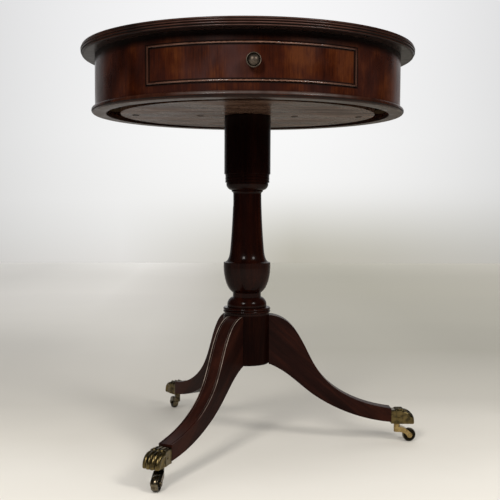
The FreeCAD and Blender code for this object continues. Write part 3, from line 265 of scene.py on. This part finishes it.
# Wall behind the table, by direction, as painted light and shade: its tones upwards, its fall to the sides, and the
# shade beside the table
WALL_HEIGHTS = (-0.1, 0.3)
WALL_TONES = ((0.0, (0.72, 0.70, 0.66)), (0.08, (0.79, 0.775, 0.75)), (0.172, (0.855, 0.85, 0.835)),
              (0.265, (0.912, 0.91, 0.902)), (0.45, (0.943, 0.943, 0.943)), (0.85, (0.93, 0.93, 0.94)))
WALL_MIDDLE = 0.034
WALL_FALL = 2.46
WALL_FALL_MOST = 0.3
WALL_SHADE = ((0.0, 0.0), (0.15, 0.36), (0.45, 1.0), (0.68, 0.84), (0.84, 0.63), (1.0, 0.43))
WALL_SHADE_SPAN = (-0.12, 0.34)
WALL_SHADE_HEIGHTS = (0.035, -0.067)
WALL_SHADE_DEPTHS = (0.365, 0.38, 0.45)

# Light of the room: overhead as it lights and as it shows in the polish, from the wall, and from the front
CEILING_HEIGHTS = (0.05, 0.9)
CEILING_LIGHT = 1.05
CEILING_SHEEN = 0.07
WALL_LIGHT = 0.55
WALL_SPAN = (0.6, 0.98)
WALL_FOOT = (-0.1, 0.05)
FRONT_LIGHT = 0.012

# Lamps: name, degrees from the front towards the right, and power
LAMPS = (("lamp_left", -24.0, 19.0), ("lamp_right", 43.0, 16.0))
LAMP_REACH = 1.7
LAMP_HEIGHT = 1.36
LAMP_TARGET = Vector((0.0, 0.0, 0.3))
LAMP_WIDTH = 0.42
LAMP_DEPTH = 0.5
LAMP_COLOUR = (1.0, 0.97, 0.93)


class Nodes:
    """A node tree, written one node at a time."""

    def __init__(self, tree):
        self.tree = tree

    def add(self, kind, values=(), out=0, **settings):
        """A node with its inputs filled by place or by name; gives one of its outputs."""
        node = self.tree.nodes.new("ShaderNode" + kind)
        for key, value in settings.items():
            setattr(node, key, value)
        for key, value in values.items() if isinstance(values, dict) else enumerate(values):
            if isinstance(value, bpy.types.NodeSocket):
                self.tree.links.new(value, node.inputs[key])
            else:
                node.inputs[key].default_value = value
        return node.outputs[out]

    def math(self, operation, a, b=0.0):
        return self.add("Math", (a, b), operation=operation)

    def vector(self, operation, a, b=(0.0, 0.0, 0.0), out=0):
        return self.add("VectorMath", (a, b), out=out, operation=operation)

    def product(self, first, *others):
        for other in others:
            first = self.math("MULTIPLY", first, other)
        return first

    def mix(self, share, a, b, blend="MIX"):
        return self.add("Mix", {0: share, 6: a, 7: b}, out=2, data_type="RGBA", blend_type=blend)

    def spread(self, value, low, high, to_low=0.0, to_high=1.0, **settings):
        """The value rescaled from one range to another, and held there."""
        return self.add("MapRange", (value, low, high, to_low, to_high), **settings)

    def between(self, value, low, high):
        """1 between two limits and 0 outside them."""
        begun, ended = (self.math("GREATER_THAN", value, limit) for limit in (low, high))
        return self.math("SUBTRACT", begun, ended)

    def ramp(self, value, stops):
        colours = self.add("ValToRGB", (value,))
        elements = colours.node.color_ramp.elements
        while len(elements) < len(stops):
            elements.new(0.5)
        for element, (place, colour) in zip(elements, stops):
            element.position = place
            element.color = (*colour, 1.0)
        return colours

    def parts(self, point):
        """The three parts of a point or direction."""
        return tuple(self.add("SeparateXYZ", (point,)).node.outputs)

    def rays(self):
        """1 for the camera's own rays, and 1 for rays that a reflection or glass passes on."""
        paths = self.add("LightPath").node.outputs
        passed_on = self.math("MAXIMUM", paths["Is Glossy Ray"], paths["Is Transmission Ray"])
        return paths["Is Camera Ray"], passed_on


class Paint(Nodes):
    """A material's node tree, with the shader's constant values set by name."""

    def __init__(self, name, **constants):
        self.material = bpy.data.materials.new(name)
        self.material.use_nodes = True
        super().__init__(self.material.node_tree)
        self.shader = self.tree.nodes["Principled BSDF"]
        for socket, value in constants.items():
            self.shader.inputs[socket.replace("_", " ")].default_value = value

    def plug(self, socket, value):
        self.tree.links.new(value, self.shader.inputs[socket])

    def place(self, turns=(), stretch=(1.0, 1.0, 1.0)):
        """The point in the table's frame, turned by degrees one turn after another and then stretched."""
        point = self.add("TexCoord", out=3)
        for turn in turns:
            point = self.add("Mapping", {"Vector": point, "Rotation": [math.radians(a) for a in turn]})
        return self.add("Mapping", {"Vector": point, "Scale": stretch})

    def position(self):
        """The point's parts across, away and up in the table's frame."""
        return self.parts(self.place())

    def facing(self):
        """The direction that the surface faces in the table's frame."""
        return self.add("TexCoord", out=1)

    def level(self, point):
        """The point without its height."""
        return self.vector("MULTIPLY", point, (1.0, 1.0, 0.0))

    def radius(self, across, away):
        """How far a point lies from the table's upright axis."""
        return self.math("SQRT", self.math("ADD", self.product(across, across), self.product(away, away)))

    def noise(self, vector, scale, detail=2.0, roughness=0.5, distortion=0.0):
        values = {"Vector": vector, "Scale": scale, "Detail": detail, "Roughness": roughness,
                  "Distortion": distortion}
        return self.add("TexNoise", values)

    def patchy(self, patches, point=None):
        """Shares that change from place to place with a noise."""
        noise, limits, shares = patches
        if point is None:
            point = self.place()
        return self.spread(self.noise(point, *noise), *limits, *shares)

    def hollows(self, reach):
        """Low in hollows and high on open faces."""
        return self.add("AmbientOcclusion", {"Distance": reach}, out=1, samples=HOLLOW_SAMPLES)

    def edges(self, radius, low, high):
        """0 on faces and 1 on sharp edges."""
        rounded = self.add("Bevel", {"Radius": radius}, samples=EDGE_SAMPLES)
        flat = self.add("NewGeometry", out=1)
        alike = self.vector("DOT_PRODUCT", rounded, flat, out=1)
        return self.spread(self.math("SUBTRACT", 1.0, alike), low, high)

    def relief(self, height, strength, distance, round_edges=0.0):
        """Bump from a height, on edges softened by a radius."""
        values = {"Height": height, "Strength": strength, "Distance": distance}
        if round_edges:
            values["Normal"] = self.add("Bevel", {"Radius": round_edges}, samples=EDGE_SAMPLES)
        self.plug("Normal", self.add("Bump", values))


def tint(*rgb):
    return (*rgb, 1.0)


def wood(name, tones, turns=(), rough=(0.2, 0.38), polish=0.2, figure=(0.5, 0.32, 0.0), clouds=(0.45, 19.0),
         wear=0.0, hollow_shade=0.0, coat=0.0, drift=0.0, layers=()):
    """Timber with its grain along Z after the turns, under layers of a cover, its tint and its roughness.

    Rough is the range of its roughness and polish its specular level. The figure is the share of bands, clouds and
    streaks; clouds are their stretch along the grain and their scale; drift lightens the wood towards the right.
    """
    paint = Paint(name, Specular_IOR_Level=polish, Coat_Weight=coat, Coat_Roughness=COAT_ROUGHNESS)
    along = paint.place(turns, (1.0, 1.0, GRAIN_STRETCH))
    blot = paint.place(turns, (1.0, 1.0, clouds[0]))
    fibre = paint.noise(along, *FIBRE_NOISE)
    cloud = paint.noise(blot, clouds[1], *CLOUD_DETAIL)
    forms = (paint.noise(along, *BAND_NOISE), cloud, paint.noise(along, *STREAK_NOISE))
    tone = paint.product(fibre, 1.0 - sum(figure))
    for form, share in zip(forms, figure):
        tone = paint.math("ADD", tone, paint.product(form, share))
    if drift:
        tone = paint.math("ADD", tone, paint.product(paint.position()[0], drift))
    colour = paint.ramp(tone, tones)
    pores = paint.spread(paint.noise(along, *PORE_NOISE), *PORE_RANGE)
    colour = paint.mix(paint.product(pores, PORE_SHARE), colour, tint(*tones[0][1]))
    if wear:
        wear_and_sheen = paint.product(paint.edges(*RUBBED_EDGE), paint.spread(cloud, *WEAR_RANGE))
        worn = tint(*(min(1.0, WEAR_GAIN * c + WEAR_LIFT) for c in tones[-1][1]))
        colour = paint.mix(paint.product(wear_and_sheen, wear), colour, worn)
    # Painted shade: the wood darkened in hollows found by ambient occlusion
    if hollow_shade:
        darkening = paint.spread(paint.hollows(GROOVE_REACH), *GROOVE_RANGE, hollow_shade, 0.0)
        colour = paint.mix(darkening, colour, tint(*PAINTED_SHADE_TINT))
    roughness = paint.spread(paint.noise(blot, *ROUGH_NOISE), *ROUGH_RANGE, *rough)
    for cover, layer_tint, layer_roughness in layers:
        covered = cover(paint)
        colour = paint.mix(covered, colour, tint(*layer_tint))
        roughness = paint.spread(covered, 0.0, 1.0, roughness, layer_roughness)
    paint.plug("Base Color", colour)
    paint.plug("Roughness", roughness)
    grain = paint.math("SUBTRACT", fibre, paint.product(pores, PORE_DEPTH))
    paint.relief(grain, *GRAIN_RELIEF)
    return paint.material


def bloom_and_sheen(paint, share, patch_share=0.0):
    """Patchy bloom, a share all over, and a further share in one patch left of the knob, which is a painted sheen.
    """
    across = paint.position()[0]
    offset = paint.math("ABSOLUTE", paint.math("SUBTRACT", across, SHEEN_PATCH_MIDDLE))
    patch = paint.spread(offset, SHEEN_PATCH_CORE, SHEEN_PATCH_REACH, share + patch_share, share)
    clouds = paint.noise(paint.place(stretch=BLOOM_STRETCH), *BLOOM_NOISE)
    return paint.product(paint.spread(clouds, *BLOOM_RANGE), patch)


def bead_painted_shade(paint, box, side):
    """Painted shade on the drum's front against the beads, on the side of the box where the sign points."""
    across, away, height = paint.position()
    half, bottom, top = box
    inside = paint.math("SUBTRACT", half, paint.math("ABSOLUTE", across))
    inside = paint.math("MINIMUM", inside, paint.math("SUBTRACT", height, bottom))
    inside = paint.math("MINIMUM", inside, paint.math("SUBTRACT", top, height))
    darkening = paint.spread(paint.product(inside, side), *BEAD_SHADE_EDGE)
    return paint.product(darkening, paint.math("LESS_THAN", away, 0.0))


def bead_painted_highlights(paint):
    """Painted highlights on the crests of the beads, which stand farthest from the table's axis."""
    across, away, _ = paint.position()
    begun, full = (BEAD_CREST - depth for depth in CREST_DEPTHS)
    crest = paint.spread(paint.radius(across, away), begun, full)
    fade = paint.spread(paint.math("ABSOLUTE", across), *CREST_FADE)
    return paint.product(crest, paint.patchy(CREST_PATCHES), fade)


def reeds(paint):
    """The place across, the distance from a reed's middle in reeds, and 1 on the top's edge alone."""
    across, away, height = paint.position()
    counted = paint.spread(height, REED_BOTTOM, REED_TOP, 0.0, REED_COUNT)
    from_middle = paint.math("ABSOLUTE", paint.math("SUBTRACT", paint.math("FRACT", counted), REED_MIDDLE))
    on_edge = paint.math("GREATER_THAN", paint.radius(across, away), REED_INSIDE)
    return across, from_middle, on_edge


def reed_groove_painted_shade(paint):
    """Painted shade in the grooves between the reeds of the top's edge."""
    _, from_middle, on_edge = reeds(paint)
    return paint.product(paint.spread(from_middle, *REED_GROOVE), on_edge)


def reed_painted_highlights(paint):
    """Painted highlights on the crests of the reeds."""
    across, from_middle, on_edge = reeds(paint)
    fade = paint.spread(paint.math("ABSOLUTE", across), *REED_FADE)
    return paint.product(paint.spread(from_middle, *REED_CREST), on_edge, paint.patchy(REED_PATCHES), fade)


def top_underside(paint):
    """The dull underside of the top, mottled."""
    underneath = paint.math("LESS_THAN", paint.position()[2], REED_BOTTOM + UNDERSIDE_DEPTH)
    return paint.product(underneath, paint.patchy(UNDERSIDE_PATCHES))


def overhang_painted_shadow(paint):
    """Painted shadow of the top on the frieze close under it."""
    height = paint.position()[2]
    return paint.spread(height, REED_BOTTOM - OVERHANG_REACH, REED_BOTTOM - OVERHANG_FULL, 0.0, OVERHANG_SHARE)


def moulding_underside_sheen(paint):
    """A painted sheen on the flat underside of the moulding, weaker towards its inner edge."""
    across, away, height = paint.position()
    underneath = paint.math("LESS_THAN", height, MOULDING_BOTTOM + UNDERSIDE_DEPTH)
    wear_and_sheen = paint.spread(paint.radius(across, away), *MOULDING_SHEEN_RADII)
    return paint.product(underneath, paint.patchy(MOULDING_PATCHES), wear_and_sheen)


def nose_painted_highlight(paint):
    """A painted highlight on the upper side of the moulding's nose."""
    across, _, height = paint.position()
    offset = paint.math("ABSOLUTE", paint.math("SUBTRACT", height, MOULDING_BOTTOM + NOSE_HEIGHT))
    sideways = paint.math("ABSOLUTE", paint.math("SUBTRACT", across, NOSE_MIDDLE))
    fade = paint.spread(sideways, *NOSE_FADE)
    return paint.product(paint.spread(offset, *NOSE_WIDTH), paint.patchy(NOSE_PATCHES), fade)


def nose_painted_shadow(paint):
    """A line of painted shadow along the lower side of the moulding's nose."""
    low, high = (MOULDING_BOTTOM + place for place in NOSE_SHADOW_BAND)
    return paint.product(paint.between(paint.position()[2], low, high), NOSE_SHADOW_SHARE)


def screw_stains(paint):
    """Dark stains round the disc's screws."""
    folded = paint.vector("ABSOLUTE", paint.place())
    stained = 0.0
    for place in SCREW_PLACES:
        offset = paint.vector("SUBTRACT", folded, (place, 0.0, 0.0))
        offset = paint.vector("DIVIDE", offset, STAIN_SIZE)
        away = paint.vector("LENGTH", paint.level(offset), out=1)
        stained = paint.math("MAXIMUM", paint.spread(away, *STAIN_EDGE), stained)
    return stained


def leg_painted_highlights(paint, azimuth):
    """Painted highlights along the edges and scratched lines on top of a leg, on faces turned upwards, fading
    towards the toe.
    """
    point = paint.place(((0.0, 0.0, -azimuth),))
    reach, across, _ = paint.parts(point)
    half = paint.spread(reach, 0.0, LEG_REACH, LEG_ROOT_HALF, LEG_TOE_HALF)
    inset = paint.math("SUBTRACT", half, paint.math("ABSOLUTE", across))
    scratched = paint.product(paint.between(inset, *SCRATCHED_LINE), SCRATCHED_SHARE)
    lines = paint.math("MAXIMUM", paint.spread(inset, *EDGE_LINE), scratched)
    upward = paint.spread(paint.parts(paint.facing())[2], *LEG_HIGHLIGHT_FACING)
    return paint.product(lines, upward, paint.patchy(LEG_HIGHLIGHT_PATCHES, point), paint.spread(reach, *LEG_HIGHLIGHT_FADE))


def brass(name, tones, rough, grime=0.9, axle=None):
    """Old cast brass: dark in its hollows, bright where hands and floors rub it, with dark flanks on wheels."""
    bright, dull = tones
    paint = Paint(name, Metallic=1.0)
    speck = paint.noise(paint.place(), SPECK_SCALE, *SPECK_DETAIL)
    colour = paint.ramp(speck, tuple(zip(SPECK_PLACES, (dull, bright))))
    wear_and_sheen = paint.product(paint.edges(*RUBBED_EDGE), BRASS_RUB_SHARE)
    colour = paint.mix(wear_and_sheen, colour, tint(*(min(1.0, BRASS_RUB_GAIN * c) for c in bright)))
    darkening = paint.spread(paint.hollows(GRIME_REACH), *GRIME_RANGE, grime, 0.0)
    if axle is not None:
        along_axle = paint.vector("DOT_PRODUCT", paint.facing(), axle, out=1)
        flank = paint.spread(paint.math("ABSOLUTE", along_axle), *WHEEL_FLANK)
        darkening = paint.math("MAXIMUM", darkening, flank)
    paint.plug("Base Color", paint.mix(darkening, colour, tint(*GRIME_TINT)))
    roughness = paint.spread(speck, *SPECK_RANGE, *rough)
    paint.plug("Roughness", paint.math("ADD", roughness, paint.product(darkening, GRIME_ROUGHNESS)))
    paint.relief(paint.noise(paint.place(), *PIT_NOISE), *BRASS_RELIEF)
    return paint.material


def leather():
    """Deep green leather with fine grain and gilt rings."""
    paint = Paint("leather", Specular_IOR_Level=LEATHER_POLISH)
    point = paint.place()
    cells = paint.add("TexVoronoi", {"Vector": point, "Scale": LEATHER_CELLS}, feature="DISTANCE_TO_EDGE")
    patches = paint.noise(point, *LEATHER_NOISE)
    colour = paint.ramp(patches, LEATHER_TONES)
    radius = paint.vector("LENGTH", paint.level(point), out=1)
    gilt = 0.0
    for middle, half in GILT_RINGS:
        offset = paint.math("ABSOLUTE", paint.math("SUBTRACT", radius, middle))
        gilt = paint.math("MAXIMUM", paint.math("LESS_THAN", offset, half), gilt)
    gilt = paint.product(gilt, paint.spread(paint.noise(point, *GILT_NOISE), *GILT_RANGE))
    paint.plug("Base Color", paint.mix(gilt, colour, tint(*GILT_TINT)))
    paint.plug("Metallic", gilt)
    paint.plug("Roughness", paint.spread(patches, *LEATHER_ROUGHNESS))
    paint.relief(cells, *LEATHER_RELIEF)
    return paint.material


def steel():
    """Darkened steel, mottled."""
    paint = Paint("screw_steel", Metallic=1.0)
    mottle = paint.noise(paint.place(), *STEEL_NOISE)
    paint.plug("Base Color", paint.ramp(mottle, STEEL_TONES))
    paint.plug("Roughness", paint.spread(mottle, *STEEL_ROUGHNESS))
    paint.relief(mottle, *STEEL_RELIEF)
    return paint.material


def along_leg(azimuth):
    """The turns that bring a leg's own long direction to Z."""
    return ((0.0, 0.0, -azimuth), (0.0, 90.0 - LEG_SLOPE, 0.0))


# Looks by the record's material slots
looks = {
    "top_wood": wood(
        "top_wood", TOP_TONES, ALONG_X, rough=(0.14, 0.26), polish=0.1, wear=0.5, hollow_shade=0.9,
        layers=(
            # Painted shade in the reeds' grooves, painted highlights on their crests, then the dull underside
            (reed_groove_painted_shade, PAINTED_SHADE_TINT, PAINTED_SHADE_ROUGHNESS),
            (reed_painted_highlights, REED_HIGHLIGHT_TINT, REED_ROUGHNESS),
            (top_underside, UNDERSIDE_TINT, UNDERSIDE_ROUGHNESS),
        ),
    ),
    "leather": leather(),
    "frieze_wood": wood(
        "frieze_wood", FRIEZE_TONES, polish=0.05, figure=(0.06, 0.56, 0.12), clouds=VENEER_CLOUDS, wear=0.2,
        hollow_shade=0.9, coat=0.2, drift=0.2,
        layers=(
            # Bloom with its painted sheen, painted shade against the beads, and painted shadow under the top
            (partial(bloom_and_sheen, share=0.2), BLOOM_AND_SHEEN_TINT, BLOOM_AND_SHEEN_ROUGHNESS),
            (partial(bead_painted_shade, box=BEAD_OUTSIDE, side=-1.0), PAINTED_SHADE_TINT, PAINTED_SHADE_ROUGHNESS),
            (overhang_painted_shadow, PAINTED_SHADE_TINT, PAINTED_SHADE_ROUGHNESS),
        ),
    ),
    "drawer_wood": wood(
        "drawer_wood", DRAWER_TONES, polish=0.05, figure=(0.06, 0.54, 0.12), clouds=VENEER_CLOUDS, wear=0.2,
        hollow_shade=0.9, coat=0.06, drift=0.2,
        layers=(
            # Bloom with a painted sheen left of the knob, and painted shade against the beads
            (partial(bloom_and_sheen, share=0.15, patch_share=0.7), BLOOM_AND_SHEEN_TINT, BLOOM_AND_SHEEN_ROUGHNESS),
            (partial(bead_painted_shade, box=BEAD_INSIDE, side=1.0), PAINTED_SHADE_TINT, PAINTED_SHADE_ROUGHNESS),
        ),
    ),
    "bead_wood": wood(
        "bead_wood", BEAD_TONES, rough=(0.16, 0.3), coat=0.2,
        # Painted highlights on the beads' crests
        layers=((bead_painted_highlights, CREST_HIGHLIGHT_TINT, CREST_ROUGHNESS),),
    ),
    "moulding_wood": wood(
        "moulding_wood", MOULDING_TONES, polish=0.1, wear=0.35, hollow_shade=0.8, coat=0.06,
        layers=(
            # Painted sheen on the underside, a painted highlight on the nose and painted shadow below it
            (moulding_underside_sheen, MOULDING_SHEEN_TINT, MOULDING_ROUGHNESS),
            (nose_painted_highlight, NOSE_HIGHLIGHT_TINT, NOSE_ROUGHNESS),
            (nose_painted_shadow, PAINTED_SHADE_TINT, PAINTED_SHADE_ROUGHNESS),
        ),
    ),
    "pedestal_wood": wood(
        "pedestal_wood", PEDESTAL_TONES, rough=(0.2, 0.32), polish=0.03, wear=0.3, hollow_shade=0.8, coat=0.11,
    ),
    "inner_wood": wood("inner_wood", INNER_TONES, ALONG_Y, rough=(0.6, 0.8), polish=0.0),
    "disc_wood": wood(
        "disc_wood", DISC_TONES, ALONG_X, rough=(0.18, 0.34), polish=DISC_POLISH, figure=(0.4, 0.15, 0.3),
        layers=((screw_stains, STAIN_TINT, STAIN_ROUGHNESS),),
    ),
    "paw_brass": brass("paw_brass", PAW_TONES, rough=(0.22, 0.4), grime=0.97),
    "knob_bronze": brass("knob_bronze", KNOB_TONES, rough=(0.42, 0.54), grime=0.97),
    "screw_steel": steel(),
    "screw_brass": brass("screw_brass", SCREW_TONES, rough=(0.3, 0.5)),
}
# The bright horn is a lit copy of the dark one; the dark one is in part dirt and in part painted shade
bright_horn = brass("bright_horn", BRIGHT_HORN_TONES, rough=(0.22, 0.4))
dark_horn = brass("dark_horn", DARK_HORN_TONES, rough=(0.16, 0.3), grime=0.95)
looks["caster_brass"] = dark_horn

# Looks of single nodes where pieces of one slot differ; the bright right horn and the darker hub are lit and shaded
# copies, painted light and shade
node_looks = {"caster_horn_right": bright_horn, "caster_axle_right": bright_horn}
# The hub: the pedestal's wood in darker tones, as painted shade
node_looks["leg_hub"] = wood(
    "hub_wood_shaded", HUB_SHADED_TONES, rough=(0.2, 0.32), polish=0.01, wear=0.3, hollow_shade=0.8, coat=0.015,
)
node_looks["cross_bearer"] = wood("bearer_wood", BEARER_TONES, ALONG_X, rough=(0.6, 0.8), polish=0.0)
for leg_name, leg_azimuth in LEG_AZIMUTHS.items():
    node_looks["leg_" + leg_name] = wood(
        "leg_wood_" + leg_name, LEG_TONES, along_leg(leg_azimuth), rough=(0.28, 0.42), polish=0.03, wear=0.2,
        # Painted highlights along the legs' edges and scratched lines
        coat=0.03, layers=((partial(leg_painted_highlights, azimuth=leg_azimuth), LEG_HIGHLIGHT_TINT, LEG_HIGHLIGHT_ROUGHNESS),),
    )
    node_looks["caster_wheel_" + leg_name] = brass(
        "wheel_brass_" + leg_name, WHEEL_TONES, rough=(0.18, 0.36), grime=0.75,
        axle=joints["caster_%s_roll" % leg_name]["axis"],
    )
for row in frame["record"]["subparts"]:
    shown = nodes[row["node"]]
    shown.data.materials.clear()
    shown.data.materials.append(node_looks.get(row["node"]) or looks[row["material_slot"]])


def add_camera():
    """The camera at the photograph's place, turned by heading, pitch and roll."""
    heading, pitch, roll = (math.radians(a) for a in (CAMERA_HEADING, CAMERA_PITCH, CAMERA_ROLL))
    ahead = Vector((
        math.sin(heading) * math.cos(pitch), math.cos(heading) * math.cos(pitch), math.sin(pitch),
    ))
    right = Vector((math.cos(heading), -math.sin(heading), 0.0))
    up = right.cross(ahead)
    rolled_right = right * math.cos(roll) + up * math.sin(roll)
    rolled_up = up * math.cos(roll) - right * math.sin(roll)
    turn = Matrix((rolled_right, rolled_up, -ahead)).transposed().to_4x4()
    data = bpy.data.cameras.new("photo_camera")
    data.lens = CAMERA_LENS
    data.sensor_width = CAMERA_SENSOR
    camera = bpy.data.objects.new("photo_camera", data)
    camera.matrix_world = Matrix.Translation(CAMERA_PLACE) @ turn
    bpy.context.scene.collection.objects.link(camera)
    bpy.context.scene.camera = camera


def stage_paper():
    """Pale paper with painted light and shade, darker under and beside the table; in front of the table it throws
    back less light than it shows.
    """
    paint = Paint("stage_paper", Roughness=FLOOR_ROUGHNESS, Specular_IOR_Level=FLOOR_POLISH)
    point = paint.place()
    across, depth, _ = paint.parts(point)
    mottle = paint.noise(point, *FLOOR_MOTTLE)
    depth = paint.math("ADD", depth, paint.spread(mottle, *FLOOR_MOTTLE_SHIFT))
    # Painted light and shade: darker under and beside the table and towards the sides
    colour = paint.ramp(paint.spread(depth, *STAGE_TONED), FLOOR_TONES)
    sideways = paint.spread(across, *STAGE_SHADED)
    near, far = (paint.ramp(sideways, shares) for shares in (FLOOR_NEAR_SHARES, FLOOR_FAR_SHARES))
    shade = paint.mix(paint.spread(depth, *FLOOR_FAR), near, far)
    colour = paint.mix(paint.spread(depth, *FLOOR_SHADE), colour, shade, "MULTIPLY")
    camera_ray, passed_on = paint.rays()
    seen = paint.math("MAXIMUM", camera_ray, passed_on)
    given_back = paint.math("MAXIMUM", seen, paint.spread(depth, *FLOOR_BOUNCE))
    paint.plug("Base Color", paint.mix(1.0, colour, given_back, "MULTIPLY"))
    paint.relief(paint.noise(point, *FLOOR_FLECK), *FLOOR_RELIEF)
    return paint.material


def add_stage():
    """A pale floor, whose paper holds painted light and shade."""
    left, right = -STAGE_SIDE, STAGE_SIDE
    corners = [(left, STAGE_FRONT), (right, STAGE_FRONT), (right, STAGE_BACK), (left, STAGE_BACK)]
    mesh = bpy.data.meshes.new("stage_floor")
    mesh.from_pydata([(x, y, 0.0) for x, y in corners], [], [(0, 1, 2, 3)])
    mesh.materials.append(stage_paper())
    floor = bpy.data.objects.new("stage_floor", mesh)
    bpy.context.scene.collection.objects.link(floor)


def add_lamp(name, azimuth, power):
    """A soft lamp above and in front of the table, aimed at it."""
    angle = math.radians(azimuth)
    place = Vector((LAMP_REACH * math.sin(angle), -LAMP_REACH * math.cos(angle), LAMP_HEIGHT))
    aim = (LAMP_TARGET - place).to_track_quat("-Z", "Y").to_matrix().to_4x4()
    lamp = bpy.data.lights.new(name, "AREA")
    lamp.shape = "RECTANGLE"
    lamp.size = LAMP_WIDTH
    lamp.size_y = LAMP_DEPTH
    lamp.energy = power
    lamp.color = LAMP_COLOUR
    holder = bpy.data.objects.new(name, lamp)
    holder.matrix_world = Matrix.Translation(place) @ aim
    bpy.context.scene.collection.objects.link(holder)


def wall_colour(room, across, height):
    """The wall's colour by direction, painted light and shade: paler upwards, darker to the sides and low beside
    the table.
    """
    wall = room.ramp(room.spread(height, *WALL_HEIGHTS), WALL_TONES)
    sideways = room.math("SUBTRACT", across, WALL_MIDDLE)
    fall = room.math("MINIMUM", room.product(sideways, sideways, WALL_FALL), WALL_FALL_MOST)
    lit = room.math("SUBTRACT", 1.0, fall)
    # Painted shade beside the table
    shares = [(place, (share, share, share)) for place, share in WALL_SHADE]
    shade = room.ramp(room.spread(across, *WALL_SHADE_SPAN), shares)
    low = room.spread(height, *WALL_SHADE_HEIGHTS, interpolation_type="SMOOTHSTEP")
    shade = room.product(shade, low)
    kept = [room.math("SUBTRACT", 1.0, room.product(shade, most)) for most in WALL_SHADE_DEPTHS]
    kept = room.add("CombineXYZ", [room.product(lit, share) for share in kept])
    return room.mix(1.0, wall, kept, "MULTIPLY")


def add_room():
    """A room that is bright overhead and behind the table."""
    world = bpy.data.worlds.new("room")
    bpy.context.scene.world = world
    world.use_nodes = True
    room = Nodes(world.node_tree)
    across, away, height = room.parts(room.add("TexCoord"))
    camera_ray, passed_on = room.rays()
    overhead = room.spread(passed_on, 0.0, 1.0, CEILING_LIGHT, CEILING_SHEEN)
    ceiling = room.product(room.spread(height, *CEILING_HEIGHTS), overhead)
    behind = room.product(room.spread(away, *WALL_SPAN), room.spread(height, *WALL_FOOT))
    light = room.math("MAXIMUM", ceiling, room.product(behind, WALL_LIGHT))
    light = room.math("ADD", light, FRONT_LIGHT)
    shown = room.math("MAXIMUM", camera_ray, room.product(passed_on, behind))
    seen = room.mix(shown, room.add("CombineXYZ", (light, light, light)), wall_colour(room, across, height))
    room.tree.links.new(seen, room.tree.nodes["Background"].inputs["Color"])


add_camera()
add_stage()
for lamp_name, lamp_azimuth, lamp_power in LAMPS:
    add_lamp(lamp_name, lamp_azimuth, lamp_power)
add_room()
bpy.context.scene.view_settings.view_transform = "Standard"
